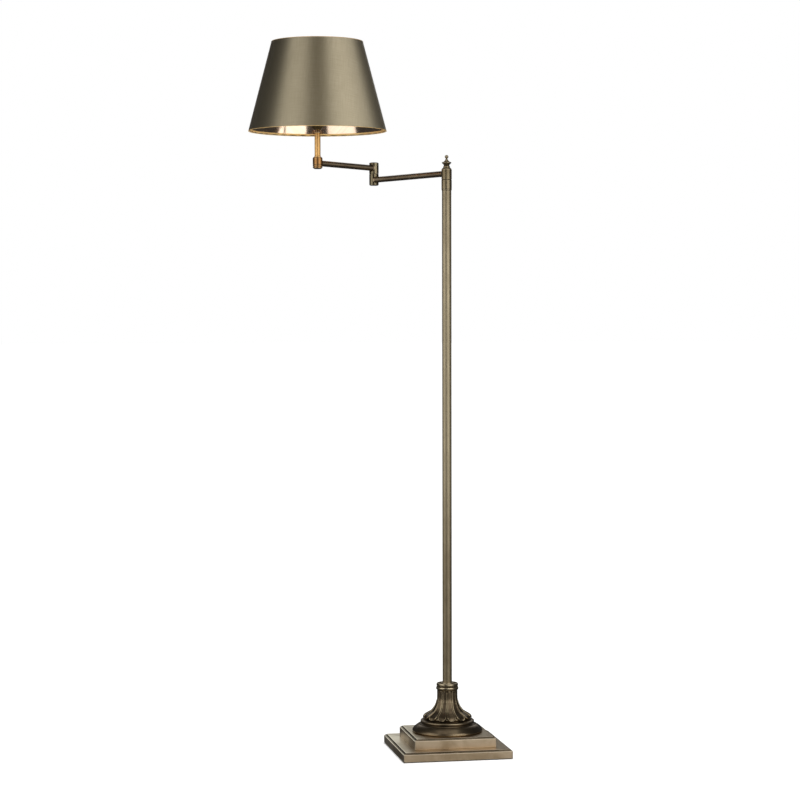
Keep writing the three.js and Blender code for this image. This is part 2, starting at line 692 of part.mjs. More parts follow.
function makeHolder() {
  const { wall, dome, seatLip, seatThick } = HOLDER;
  const radius = holderRadius;
  const holder = new THREE.Group();

  // Domed brass cap, open at the top, drilled at the side for the switch shaft.
  const throat = ROD.radius + SLIP;
  const outerDome = Array.from({ length: 5 }, (_, i) => radians(22.5 * i)).map((a) => [
    radius - (radius - holderFoot) * (1 - Math.sin(a)),
    holderBottom + dome * (1 - Math.cos(a)),
  ]);
  const innerDome = outerDome.map(([r, z]) => [
    Math.max(r - wall, throat),
    Math.max(z, holderBottom + wall),
  ]);
  const cap = turned([[throat, holderBottom], ...outerDome, ...innerDome.reverse()], ROUND);
  const shaftHole = barY(KNOB.shaft + GAP, 0, 2 * radius, shaftLine, SMALL);
  holder.add(node("holder_cap", cut(cap, shaftHole), rawBrass));

  // Threaded skirt with the shoulder that the shade's ring rests on.
  const skirt = turned(
    [
      [radius - wall, skirtBottom],
      [radius, skirtBottom],
      [radius, shadeSeat - seatThick],
      [radius + seatLip, shadeSeat - seatThick],
      [radius + seatLip, shadeSeat],
      [radius, shadeSeat],
      [radius, skirtTop],
      [radius - wall, skirtTop],
    ],
    ROUND,
  );
  holder.add(node("holder_skirt", skirt, rawBrass));

  const insertRadius = radius - wall - GAP;
  const insertTop = skirtBottom + INSERT.height;
  const well = insertRadius - INSERT.wall;
  const insert = turned(
    [
      [0, skirtBottom],
      [insertRadius, skirtBottom],
      [insertRadius, insertTop],
      [well, insertTop],
      [well, skirtBottom + INSERT.floor],
      [0, skirtBottom + INSERT.floor],
    ],
    ROUND,
  );
  holder.add(node("holder_insert", insert, ceramic));
  const contactBottom = skirtBottom + INSERT.floor;
  const contactTop = contactBottom + CONTACT.height;
  holder.add(node("holder_contact", ring(0, CONTACT.radius, contactBottom, contactTop, SMALL), rawBrass));
  const nutBottom = spiderTop + GAP;
  const nut = ring(radius + SLIP, radius + SHADE_NUT.rim, nutBottom, nutBottom + SHADE_NUT.height, ROUND);
  holder.add(node("shade_nut", nut, rawBrass));

  // Rotary switch: a shaft through the cap's back with a grooved knob on its end.
  const knobStart = radius + 1.5;
  const knob = weld(
    barY(KNOB.shaft, radius * 0.45, knobStart + 2, shaftLine, 12),
    barY(KNOB.radius, knobStart, knobStart + KNOB.length, shaftLine, ROUND),
  );
  const grips = Array.from({ length: 6 }, (_, i) => {
    const angle = (Math.PI * i) / 3;
    return barY(0.9, knobStart + 2, knobStart + KNOB.length + 1, 0, 6).translate(
      KNOB.radius * Math.cos(angle),
      0,
      shaftLine + KNOB.radius * Math.sin(angle),
    );
  });
  holder.add(node("switch_knob", cut(knob, ...grips), darkBronze));
  return holder;
}

function makeBulb() {
  const bulb = new THREE.Group();
  const { radius, height, capRadius, capHeight, glass } = BULB;
  const bottom = skirtBottom + INSERT.floor + CONTACT.height + GAP;
  const capTop = bottom + capHeight;
  const centre = bottom + height - radius;
  const cap = [
    [0, bottom],
    [4.5, bottom],
    [capRadius - 2, bottom + 4],
    [capRadius, bottom + 6],
    [capRadius, capTop],
    [0, capTop],
  ];
  bulb.add(node("bulb_cap", turned(cap, ROUND), steel));

  // Frosted envelope: a neck that swells into a round globe, open at the bottom where the cap closes it.
  const neck = capRadius - 0.5;
  const join = 40; // degrees below the globe's equator where the neck meets it
  const envelope = (inset) => [
    [neck - inset, capTop + GAP],
    [neck + 2 - inset, capTop + 8],
    ...arc(0, centre, radius - inset, -join, 90, 7),
  ];
  const outside = envelope(0);
  const inside = envelope(glass).reverse();
  outside[outside.length - 1][0] = 0;
  inside[0][0] = 0;
  bulb.add(node("bulb_globe", turned([...outside, ...inside, outside[0]], ROUND), frosted));
  return bulb;
}

// ---------------------------------------------------------------- shade

function makeShade() {
  const shade = new THREE.Group();
  const { bottom, top, height, cover, lining, glue } = SHADE;
  const roll = WIRE.radius + WIRE.clearance + HEM.thick; // outer radius of the rolled hem
  const low = shadeBottom + 2 * roll + GAP;
  const high = shadeTop - 2 * roll - GAP;
  const outerAt = (z) => bottom - ((bottom - top) * (z - shadeBottom)) / height;

  const coneWall = (depth, thick) => [
    [outerAt(low) - depth, low],
    [outerAt(high) - depth, high],
    [outerAt(high) - depth - thick, high],
    [outerAt(low) - depth - thick, low],
  ];
  shade.add(node("shade_cover", turned(coneWall(0, cover), WIDE), shadeFabric));
  shade.add(node("shade_lining", turned(coneWall(cover + glue, lining), WIDE), copperFoil));

  // Each edge is a trim rolled round a wire ring.
  const edges = [
    { place: "bottom", radius: bottom - roll, z: shadeBottom + roll, open: 90 },
    { place: "top", radius: top - roll, z: shadeTop - roll, open: -90 },
  ];
  for (const { place, radius, z, open } of edges) {
    const wire = arc(radius, z, WIRE.radius, 0, 288, 4);
    shade.add(node(`shade_${place}_wire`, turned(wire, WIDE), steel));
    const from = open + HEM.mouth / 2;
    const to = open + 360 - HEM.mouth / 2;
    const trim = [
      ...arc(radius, z, roll, from, to, 5),
      ...arc(radius, z, roll - HEM.thick, to, from, 5),
    ];
    shade.add(node(`shade_${place}_hem`, turned(trim, WIDE), copperFoil));
  }
  shade.add(makeSpider(outerAt(high) - cover - lining, high));
  return shade;
}

// The wire carrier: a flat ring on the lampholder's shoulder, and spokes that rise from it to the top hem.
function makeSpider(rimRadius, rimHeight) {
  const { wire, spokes, ring: width, ringThick, first } = SPIDER;
  const spider = new THREE.Group();
  const hole = holderRadius + GAP;
  spider.add(node("shade_gimbal", ring(hole, hole + width, spiderBottom, spiderTop, ROUND), steel));

  const middle = spiderBottom + ringThick / 2;
  const start = hole + width + GAP;
  const end = rimRadius - wire - GAP;
  const path = new THREE.CatmullRomCurve3([
    new THREE.Vector3(start, 0, middle),
    new THREE.Vector3(start + 6, 0, middle + 0.6),
    new THREE.Vector3(start + (end - start) * 0.66, 0, (middle + rimHeight) / 2 + 8),
    new THREE.Vector3(end - 1, 0, rimHeight),
  ]);
  const section = new THREE.Shape();
  section.absarc(0, 0, wire, 0, 2 * Math.PI);
  const spoke = new THREE.ExtrudeGeometry(section, { steps: 9, curveSegments: 3, extrudePath: path });
  const positions = new THREE.BufferGeometry();
  positions.setAttribute("position", spoke.getAttribute("position"));
  const bare = mergeVertices(positions);
  for (let i = 0; i < spokes; i++) {
    const turn = radians(first + (360 * i) / spokes);
    spider.add(node(`shade_spoke_${i + 1}`, tidy(bare.clone()).rotateZ(turn), steel));
  }
  return spider;
}

// ---------------------------------------------------------------- the lamp

const lamp = new THREE.Group();
lamp.add(makeStepBase(), makeFoot(), makeCollar(), makePole(), makeInnerArm(), makeOuterArm());

export default lamp;
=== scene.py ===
# %% [markdown]
# # A swing-arm floor lamp around its imported frame
# The lamp is antique bronze: a stepped square plinth, a leafed foot, a slim pole, a jointed arm in two
# lengths and a tapered shade with a copper foil lining. The imported model gives the size and place of
# every part. This lesson builds a finely rounded surface for each part that shows, and gives it a finish
# that has a patina, rubbed edges and hollows darkened by patina and painted shade. Lengths in the
# profiles are in millimetres, and `MM` turns them into metres.

import bpy
import numpy as np
from mathutils import Matrix, Vector


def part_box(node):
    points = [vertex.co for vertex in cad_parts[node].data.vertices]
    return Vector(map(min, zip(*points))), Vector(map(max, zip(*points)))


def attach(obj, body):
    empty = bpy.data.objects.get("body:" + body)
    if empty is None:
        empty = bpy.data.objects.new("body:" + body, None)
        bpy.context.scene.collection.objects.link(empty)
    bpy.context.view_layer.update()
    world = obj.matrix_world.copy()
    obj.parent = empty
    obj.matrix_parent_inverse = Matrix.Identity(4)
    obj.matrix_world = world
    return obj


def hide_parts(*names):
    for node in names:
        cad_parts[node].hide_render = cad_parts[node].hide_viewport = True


MM = 0.001
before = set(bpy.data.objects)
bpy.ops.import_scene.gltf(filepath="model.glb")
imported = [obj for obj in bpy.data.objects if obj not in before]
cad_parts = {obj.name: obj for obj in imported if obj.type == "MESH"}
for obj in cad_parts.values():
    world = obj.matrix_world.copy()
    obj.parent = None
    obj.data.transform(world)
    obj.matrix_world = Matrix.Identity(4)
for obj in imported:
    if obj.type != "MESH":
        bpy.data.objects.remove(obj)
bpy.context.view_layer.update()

# %% [markdown]
# The camera stands almost five metres away, a little to the left of the pole and below the shade, and
# looks slightly down. A long lens keeps the pole's sides parallel.

# %% Camera
heading, dip, roll = np.radians((10.565, 2.252, -0.12))
view_forward = Vector((np.sin(heading) * np.cos(dip), np.cos(heading) * np.cos(dip), -np.sin(dip)))
level_right = Vector((np.cos(heading), -np.sin(heading), 0))
level_up = level_right.cross(view_forward)
view_right = level_right * np.cos(roll) + level_up * np.sin(roll)
view_up = level_up * np.cos(roll) - level_right * np.sin(roll)
camera_data = bpy.data.cameras.new("camera")
camera_data.sensor_width = 36
camera_data.lens = 102.1
camera = bpy.data.objects.new("camera", camera_data)
camera_place = (-0.9842, -4.7318, 0.9427)
camera_axes = Matrix((view_right, view_up, -view_forward)).transposed().to_4x4()
camera.matrix_world = Matrix.Translation(camera_place) @ camera_axes
bpy.context.scene.collection.objects.link(camera)
bpy.context.scene.camera = camera
bpy.context.scene.view_settings.view_transform = "Standard"
print("camera at", tuple(round(v, 3) for v in camera.location))

# %% [markdown]
# ## Studio
# Polished tubes show the studio as stripes, so the light is shaped for them: a tall soft panel at each
# side of the camera, a dark gap between the two and darkness beyond them. That gives each tube two light
# bands, a dark middle and dark edges. The shade hangs to the left of the pole and would see one pair of
# panels at other angles, so shade and pole each have a pair of their own, and light linking keeps the
# pairs apart. The shade's cloth has two more, a warm weak one for its middle and one at its right. Two
# panels graze the arms, and three stand behind the lamp.
#
# A flat plate mirrors only one spot of the studio. The plinth's tops show what stands low behind the
# lamp, its front shows what is below the camera, and its left side shows what is low behind the lamp.
# Each has a card in that place. Two of the cards reach below the floor, which casts no shadow and shows
# in no reflection. The floor has a sun of its own, and the white world behind everything is seen by the
# camera only.

# %% Floor and background
groups = ("floor", "column", "head", "cloth", "arms", "plinth")
lit = {group: bpy.data.collections.new(f"lit_{group}") for group in groups}
floor_mesh = bpy.data.meshes.new("floor")
floor_mesh.from_pydata([(-60, -60, 0), (60, -60, 0), (60, 60, 0), (-60, 60, 0)], [], [(0, 1, 2, 3)])
floor = bpy.data.objects.new("floor", floor_mesh)
bpy.context.scene.collection.objects.link(floor)
lit["floor"].objects.link(floor)
floor_paint = bpy.data.materials.new("floor_paint")
floor_paint.use_nodes = True
floor_shader = floor_paint.node_tree.nodes["Principled BSDF"]
floor_shader.inputs["Base Color"].default_value = (0.92, 0.92, 0.91, 1)
floor_shader.inputs["Roughness"].default_value = 0.9
floor_mesh.materials.append(floor_paint)
floor.visible_glossy = False
floor.visible_shadow = False

world = bpy.data.worlds.new("studio")
world.use_nodes = True
bpy.context.scene.world = world
world_nodes, world_links = world.node_tree.nodes, world.node_tree.links
room = world_nodes["Background"]
room.inputs["Color"].default_value = (0.97, 0.98, 1.0, 1)
room.inputs["Strength"].default_value = 0.045
white = world_nodes.new("ShaderNodeBackground")
white.inputs["Color"].default_value = (1, 1, 1, 1)
path = world_nodes.new("ShaderNodeLightPath")
blend = world_nodes.new("ShaderNodeMixShader")
world_links.new(path.outputs["Is Camera Ray"], blend.inputs[0])
world_links.new(room.outputs[0], blend.inputs[1])
world_links.new(white.outputs[0], blend.inputs[2])
world_links.new(blend.outputs[0], world_nodes["World Output"].inputs[0])
print("floor and background ready")

# %% Lights
def add_light(data, name, matrix, group):
    light = bpy.data.objects.new(name, data)
    light.matrix_world = matrix
    light.visible_camera = False
    light.light_linking.receiver_collection = group
    bpy.context.scene.collection.objects.link(light)


def soft_panel(name, seen_from, edges, distance, bottom, top, brightness, group, colour=(1, 1, 1)):
    """A rectangle that faces a point. Its left and right edges are azimuths in degrees, counted from the
    camera's side and positive to the right. Width = 2 distance tan(half the angle between them), and the
    light's power is brightness * pi * width * height."""
    turn = np.radians(sum(edges) / 2)
    width = 2 * distance * np.tan(np.radians(edges[1] - edges[0]) / 2)
    towards = -view_forward.xy.normalized()
    outward = Vector((
        towards.x * np.cos(turn) - towards.y * np.sin(turn),
        towards.x * np.sin(turn) + towards.y * np.cos(turn),
        0,
    ))
    data = bpy.data.lights.new(name, "AREA")
    data.shape, data.size, data.size_y = "RECTANGLE", width, top - bottom
    data.energy = brightness * np.pi * width * (top - bottom)
    data.color = colour
    up = Vector((0, 0, 1))
    place = Vector((*seen_from, (top + bottom) / 2)) + outward * distance
    facing = Matrix((up.cross(outward), up, outward)).transposed().to_4x4()
    add_light(data, name, Matrix.Translation(place) @ facing, group)


pole_spot, shade_spot = (0, 0), (-0.22, 0.2)
soft_panel("column_left", pole_spot, (-90, -36), 2.3, 0.02, 3.4, 1.05, lit["column"])
soft_panel("column_right", pole_spot, (7, 63), 2.3, 0.02, 3.4, 1.25, lit["column"])
soft_panel("head_left", shade_spot, (-70, -17), 2.2, 0.02, 3.35, 1.3, lit["head"])
soft_panel("head_right", shade_spot, (22, 76), 2.2, 0.02, 3.35, 1.6, lit["head"])
soft_panel("head_back", shade_spot, (160, 200), 2.4, 0.9, 3.0, 0.7, lit["head"])
soft_panel("cloth_middle", shade_spot, (-17, 22), 2.2, 0.3, 3.35, 0.2, lit["cloth"], (1.0, 0.88, 0.66))
soft_panel("cloth_right", shade_spot, (76, 106), 2.2, 0.3, 3.35, 1.1, lit["cloth"])
soft_panel("arm_left", pole_spot, (-130, -95), 2.2, 0.6, 2.2, 0.4, lit["arms"])
soft_panel("arm_right", pole_spot, (95, 130), 2.2, 0.6, 2.2, 0.4, lit["arms"])
soft_panel("back_left", pole_spot, (-176, -154), 2.6, 0.9, 3.0, 0.6, lit["column"])
soft_panel("back_right", pole_spot, (154, 176), 2.6, 0.9, 3.0, 0.6, lit["column"])
soft_panel("plinth_top", pole_spot, (178, 216), 2.6, 0.1, 1.6, 0.98, lit["plinth"], (0.9, 1.0, 1.0))
soft_panel("plinth_front", pole_spot, (-8, 50), 2.3, -1.4, 0.3, 0.5, lit["plinth"])
soft_panel("plinth_side", pole_spot, (-176, -144), 2.3, -1.4, 0.1, 0.06, lit["plinth"])
overhead_brightness = 0.6
overhead = bpy.data.lights.new("overhead", "AREA")
overhead.shape, overhead.size = "SQUARE", 2.4
overhead.energy = overhead_brightness * np.pi * overhead.size**2
add_light(overhead, "overhead", Matrix.Translation((0, -0.6, 3.4)), lit["column"])
sun = bpy.data.lights.new("floor_sun", "SUN")
sun.energy, sun.angle = 4.3, np.radians(35)
add_light(sun, "floor_sun", Matrix.Identity(4), lit["floor"])

# %% [markdown]
# ## Surfaces
# Almost every part was turned on a lathe, so one helper is used throughout: a profile is carried round an
# axis as a grid of points. Rows follow the profile and columns go round. A first or last row that has
# shrunk to one point becomes a pole, and a wrapped grid closes on itself, as a ring does.

# %% Profiles
def rounded(points, steps=5, guard=0.8):
    """Each point is (across, along, d) in millimetres. The corner is replaced by the parabola that leaves
    one side d before the corner and joins the other side d after it, and one more point is kept on each
    side, a guard's distance further out."""
    points = np.array(points, float)
    corner, ease = points[:, None, :2], points[:, None, 2:]
    behind, ahead = np.roll(corner, 1, 0) - corner, np.roll(corner, -1, 0) - corner
    behind[0], ahead[-1] = 0, 0
    before, after = (np.linalg.norm(side, axis=-1, keepdims=True) for side in (behind, ahead))
    to_before, to_after = behind / np.maximum(before, 1e-9), ahead / np.maximum(after, 1e-9)
    t = np.linspace(0, 1, steps)[None, :, None]
    start = corner + to_before * np.minimum(ease, 0.45 * before)
    end = corner + to_after * np.minimum(ease, 0.45 * after)
    curve = (1 - t) ** 2 * start + 2 * t * (1 - t) * corner + t**2 * end
    first = corner + to_before * np.minimum(ease + guard, 0.49 * before)
    last = corner + to_after * np.minimum(ease + guard, 0.49 * after)
    line = np.concatenate([first, curve, last], 1).reshape(-1, 2)
    apart = np.linalg.norm(np.diff(line, axis=0), axis=1) > 1e-5
    return line[np.concatenate([[True], apart])]


def smooth(points, steps):
    """A Catmull-Rom curve: between two points the line is a cubic whose slope at each is half the way
    between its neighbours."""
    p = np.array(points, float)
    p = np.concatenate([[2 * p[0] - p[1]], p, [2 * p[-1] - p[-2]]])
    t = np.linspace(0, 1, steps, endpoint=False)[None, :, None]
    a, b, c, d = p[:-3, None], p[1:-2, None], p[2:-1, None], p[3:, None]
    square, cube = 2 * a - 5 * b + 4 * c - d, 3 * b - a - 3 * c + d
    curve = 0.5 * (2 * b + (c - a) * t + square * t**2 + cube * t**3)
    return np.concatenate([curve.reshape(-1, 2), p[-2:-1]])


def revolve(profile, centre, columns, axis=(0, 0, 1)):
    """Point (r, z) of the profile at angle a is centre + r (cos a side + sin a up) + z axis, in
    metres."""
    axis = np.array(axis, float)
    up = np.array((0, 1, 0) if abs(axis[2]) > 0.9 else (0, 0, 1), float)
    side = np.cross(up, axis)
    angle = np.arange(columns) * 2 * np.pi / columns
    r, z = profile[:, 0, None, None] * MM, profile[:, 1, None, None] * MM
    ring = np.cos(angle)[None, :, None] * side + np.sin(angle)[None, :, None] * up
    return np.array(centre, float) + r * ring + z * axis


# %% [markdown]
# A skin is one grid turned into faces. It could carry colours painted by hand, but the places that a
# brush wears bare are the ridges, and these can be measured: each point gets an edge value from the
# grid's own curvature.

# %% Skin
EDGE_GAIN = 0.0006


def lengths(points, closed):
    """Distance along a line of points, from its first."""
    ends = np.concatenate([points, points[:1]]) if closed else points
    return np.concatenate([[0], np.cumsum(np.linalg.norm(np.diff(ends, axis=0), axis=1))])


def bending(grid, wrap):
    """Mean curvature in 1/metre, positive on a ridge: the change of direction along rows and columns,
    over the length of the step, seen against the outward normal."""
    def along(axis, closed):
        ahead, behind = np.roll(grid, -1, axis) - grid, np.roll(grid, 1, axis) - grid
        if not closed:
            ahead[-1], behind[0] = -behind[-1], -ahead[0]
        a = np.maximum(np.linalg.norm(ahead, axis=-1, keepdims=True), 1e-6)
        b = np.maximum(np.linalg.norm(behind, axis=-1, keepdims=True), 1e-6)
        return (ahead / a + behind / b) * 2 / (a + b), ahead - behind

    pull_rows, slope_rows = along(0, wrap)
    pull_columns, slope_columns = along(1, True)
    normal = np.cross(slope_columns, slope_rows)
    normal /= np.maximum(np.linalg.norm(normal, axis=-1, keepdims=True), 1e-12)
    return -((pull_rows + pull_columns) * normal).sum(-1)


def skin(grid, wrap=False, uv=None, tone=0.0):
    """Vertices, faces, face-corner UVs in metres and the edge value of one grid. Without uv, u is the way
    round at the widest row and v is the way along the profile. Edge = 0.5 + gain * curvature + tone,
    where tone is one number or one per row."""
    rows, columns = grid.shape[:2]
    if uv is None:
        widest = np.argmax(np.ptp(grid, axis=1).sum(-1))
        u = lengths(grid[widest], True)
        v = lengths(grid[:, 0], wrap)
        uv = np.stack(np.meshgrid(u, v), -1)
    row, column = np.meshgrid(np.arange(rows if wrap else rows - 1), np.arange(columns), indexing="ij")
    corner_row = np.stack([row, row, row + 1, row + 1], -1).reshape(-1, 4)
    corner_column = np.stack([column, column + 1, column + 1, column], -1).reshape(-1, 4)
    pole = np.zeros(rows, bool)
    if not wrap:
        pole[[0, -1]] = [np.ptp(grid[end], axis=0).max() < 1e-7 for end in (0, -1)]
    vertex = (corner_row % rows) * columns + np.where(pole[corner_row % rows], 0, corner_column % columns)
    corner_uv = uv[corner_row, corner_column]
    edge = np.clip(0.5 + EDGE_GAIN * bending(grid, wrap) + np.reshape(tone, (-1, 1)), 0, 1).ravel()
    low, high = pole[corner_row[:, 0] % rows], pole[corner_row[:, 2] % rows]
    parts = [(~low & ~high, [0, 1, 2, 3]), (low, [0, 2, 3]), (high, [0, 1, 2])]
    faces, corners = [], []
    for chosen, order in parts:
        faces += vertex[chosen][:, order].tolist()
        corners.append(corner_uv[chosen][:, order].reshape(-1, 2))
    used = np.unique(vertex)
    place = np.full(rows * columns, -1)
    place[used] = np.arange(len(used))
    faces = [[int(place[i]) for i in face] for face in faces]
    return grid.reshape(-1, 3)[used], faces, np.concatenate(corners), edge[used]


def piece(name, skins, body, material, *nodes, sharp=38, extra=()):
    """Joins closed skins in one object, which rides on a body, stands for CAD nodes and takes its light
    from its body's panels and any extra groups."""
    points, faces, uvs, edges, count = [], [], [], [], 0
    for vertices, rings, uv, edge in skins:
        points.append(vertices)
        faces += [[i + count for i in ring] for ring in rings]
        uvs.append(uv)
        edges.append(edge)
        count += len(vertices)
    mesh = bpy.data.meshes.new(name)
    mesh.from_pydata(np.concatenate(points), [], faces)
    layer = mesh.uv_layers.new(name="surface")
    layer.data.foreach_set("uv", np.concatenate(uvs).astype(np.float32).ravel())
    attribute = mesh.attributes.new("edge", "FLOAT", "POINT")
    attribute.data.foreach_set("value", np.concatenate(edges).astype(np.float32))
    mesh.shade_smooth()
    mesh.set_sharp_from_angle(angle=np.radians(sharp))
    mesh.materials.append(material)
    made = bpy.data.objects.new(name, mesh)
    bpy.context.scene.collection.objects.link(made)
    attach(made, body)
    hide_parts(*nodes)
    for group in ("column" if body in ("base", "inner_arm") else "head", *extra):
        lit[group].objects.link(made)
    levels = np.concatenate(points)[:, 2]
    print(f"{name}: {len(mesh.polygons)} faces, z {levels.min():.4f} to {levels.max():.4f}")


def turned(name, profile, place, columns, body, material, *nodes, ring=False, extra=()):
    """One piece from one profile, revolved about the upright axis through a place. The profile of a ring
    is closed, so the ring stays open for what goes through it."""
    piece(name, [skin(revolve(profile, place, columns), ring)], body, material, *nodes, extra=extra)


# %% [markdown]
# ## Finishes
# Antique bronze is brass that was darkened with acid, brushed back and lacquered. The dark patina stays
# in hollows, which are darkened further as painted shade, the brushing bares ridges and edges, and the
# rest clouds between the two. The clouds are noise on the object's own coordinates, the brush lines run
# round on the piece's UV map, and ridges and hollows come from the edge attribute that each skin carries.


def new_material(name):
    material = bpy.data.materials.new(name)
    material.use_nodes = True
    return material, material.node_tree, material.node_tree.nodes["Principled BSDF"]


def put(tree, kind, inputs=None, **settings):
    """A node with its settings made and its sockets filled, by a link from another socket or by a plain
    value."""
    node = tree.nodes.new(kind)
    for key, value in settings.items():
        setattr(node, key, value)
    for socket, value in (inputs or {}).items():
        if isinstance(value, bpy.types.NodeSocket):
            tree.links.new(value, node.inputs[socket])
        else:
            node.inputs[socket].default_value = value
    return node


def coordinates(tree, kind, scale):
    """The object's own coordinates, or its UV map, stretched by a scale."""
    source = put(tree, "ShaderNodeTexCoord")
    return put(tree, "ShaderNodeMapping", {"Vector": source.outputs[kind], "Scale": scale}).outputs[0]


def noise(tree, vector, scale, detail=4.0, roughness=0.55, distortion=0.0):
    values = {"Vector": vector, "Scale": scale, "Detail": detail, "Roughness": roughness}
    values["Distortion"] = distortion
    return put(tree, "ShaderNodeTexNoise", values).outputs["Fac"]


def remap(tree, value, low, high, to_low=0.0, to_high=1.0):
    """Follows a value from low to high with a smooth step, and gives to_low to to_high."""
    values = {"Value": value, "From Min": low, "From Max": high, "To Min": to_low, "To Max": to_high}
    return put(tree, "ShaderNodeMapRange", values, interpolation_type="SMOOTHSTEP").outputs["Result"]


def mixed(tree, factor, first, second):
    """Goes from the first colour to the second as the factor rises."""
    return put(tree, "ShaderNodeMix", {0: factor, 6: first, 7: second}, data_type="RGBA").outputs[2]


def math(tree, operation, a, b):
    return put(tree, "ShaderNodeMath", {0: a, 1: b}, operation=operation).outputs[0]


def rgb(*values):
    """A display colour, 0 to 255, as linear light."""
    v = np.array(values) / 255
    return (*np.where(v <= 0.04045, v / 12.92, ((v + 0.055) / 1.055) ** 2.4).tolist(), 1)


print("node helpers ready")

# %% Antique metal
def antique_metal(name, patina, metal, worn_and_lit, roughness, runs=0.3, lines=(8, 1800), coat=0.15,
                  hollow=0.22, painted_light_heights=None):
    """Patina to metal by clouds and runs, rubbed bare on ridges, darker still in hollows as patina and
    painted shade, with brush lines in the bump. Runs is the share of the upright runs in the clouding,
    lines are the brush lines' scales along u and v, and hollow is the share of the patina's light that is
    left in a hollow. The last argument paints light by height: four heights in metres, where the metal is
    painted paler from the first to the second and painted duller again, as shadow, from the third to the
    fourth. The third colour serves both for the rubbed ridges and for that painted light."""
    material, tree, shader = new_material(name)
    clouds = noise(tree, coordinates(tree, "Object", (1, 1, 1)), 13, 5, 0.55, 0.6)
    drips = noise(tree, coordinates(tree, "Object", (1, 1, 0.14)), 70, 3, 0.5, 0.2)
    specks = noise(tree, coordinates(tree, "Object", (1, 1, 1)), 1400, 2, 0.6)
    brushed = noise(tree, coordinates(tree, "UV", (*lines, 1)), 1, 3, 0.6)
    edge = put(tree, "ShaderNodeAttribute", attribute_name="edge").outputs["Fac"]
    clouded, streaked = math(tree, "MULTIPLY", clouds, 1 - runs), math(tree, "MULTIPLY", drips, runs)
    cloudy = remap(tree, math(tree, "ADD", clouded, streaked), 0.34, 0.68)
    colour = mixed(tree, cloudy, patina, metal)
    # Painted light by height: paler across the middle as painted light, duller at the top as painted shadow
    # under the hub.
    if painted_light_heights:
        level = put(tree, "ShaderNodeSeparateXYZ", {0: coordinates(tree, "Object", (1, 1, 1))}).outputs["Z"]
        painted_light_rise, painted_shadow_fall = remap(tree, level, *painted_light_heights[:2]), remap(tree, level, *painted_light_heights[2:], 1, 0)
        colour = mixed(tree, math(tree, "MULTIPLY", painted_light_rise, painted_shadow_fall), colour, worn_and_lit)
    rubbed = math(tree, "MULTIPLY", remap(tree, edge, 0.56, 0.8), remap(tree, specks, 0.25, 0.6, 0.55, 1.0))
    colour = mixed(tree, rubbed, colour, worn_and_lit)
    # Hollows are painted darker: the patina gathered there, and painted shade.
    deep = remap(tree, edge, 0.44, 0.2, 0, 0.9)
    hollow_patina_and_shade = (*(hollow * v for v in patina[:3]), 1)
    tree.links.new(mixed(tree, deep, colour, hollow_patina_and_shade), shader.inputs["Base Color"])
    rough = math(tree, "ADD", remap(tree, cloudy, 0, 1, roughness + 0.05, roughness - 0.03),
                 math(tree, "MULTIPLY", math(tree, "SUBTRACT", brushed, 0.5), 0.06))
    rough = math(tree, "ADD", rough, math(tree, "MULTIPLY", deep, 0.55))
    tree.links.new(rough, shader.inputs["Roughness"])
    bump = put(tree, "ShaderNodeBump", {"Height": brushed, "Strength": 0.03, "Distance": 0.0001})
    tree.links.new(bump.outputs[0], shader.inputs["Normal"])
    shader.inputs["Metallic"].default_value = 1
    shader.inputs["Coat Weight"].default_value = coat
    shader.inputs["Coat Roughness"].default_value = 0.28
    return material


bronze = antique_metal("bronze_finish", rgb(150, 134, 104), rgb(184, 167, 134),
                       rgb(228, 212, 180), 0.29, 0.2)
hub_bronze = antique_metal("hub_finish", rgb(128, 113, 86), rgb(158, 143, 112),
                           rgb(200, 184, 152), 0.4, 0.2)
# The pole's four heights paint a light band on its middle and painted shadow under the hub.
pole_bronze = antique_metal("pole_finish", rgb(162, 146, 117), rgb(184, 168, 137),
                            rgb(198, 183, 151), 0.5, 0.2, (900, 3), 0.1, painted_light_heights=(0.36, 0.62, 0.95, 1.25))
knuckle_bronze = antique_metal("knuckle_finish", rgb(104, 96, 74), rgb(140, 128, 100),
                               rgb(190, 176, 144), 0.27)
# The plinth's hollows are painted nearly black, as painted shade.
plinth_bronze = antique_metal("plinth_finish", rgb(164, 143, 114), rgb(202, 181, 152),
                              rgb(240, 224, 196), 0.34, 0.12, (3, 300), 0.0, 0.03)
foot_bronze = antique_metal("foot_finish", rgb(108, 93, 72), rgb(154, 136, 108),
                            rgb(200, 182, 148), 0.3, 0.3, (8, 900), 0.15, 0.11)
arm_bronze = antique_metal("arm_finish", rgb(132, 112, 88), rgb(168, 148, 118),
                           rgb(200, 180, 146), 0.28)
# The stem and head barrel are coloured gold partly by their metal and partly as a painted warm reflection of
# the lit lining.
stem_brass_and_reflection = antique_metal("stem_finish", rgb(200, 155, 92), rgb(214, 170, 108),
                     rgb(226, 190, 132), 0.5)
barrel_brass_and_reflection = antique_metal("head_barrel_finish", rgb(170, 122, 70), rgb(202, 154, 98),
                            rgb(240, 200, 140), 0.34)
holder_brass = antique_metal("holder_finish", rgb(176, 140, 84), rgb(222, 188, 126),
                             rgb(250, 226, 170), 0.22)

# %% [markdown]
# The shade is a satin laminate: metallic thread woven fine on a stiff film. Its threads run straight on
# the flat sheet, and the sheet is cut as a sector and rolled, so the weave reads a UV map that unrolls
# the cone.

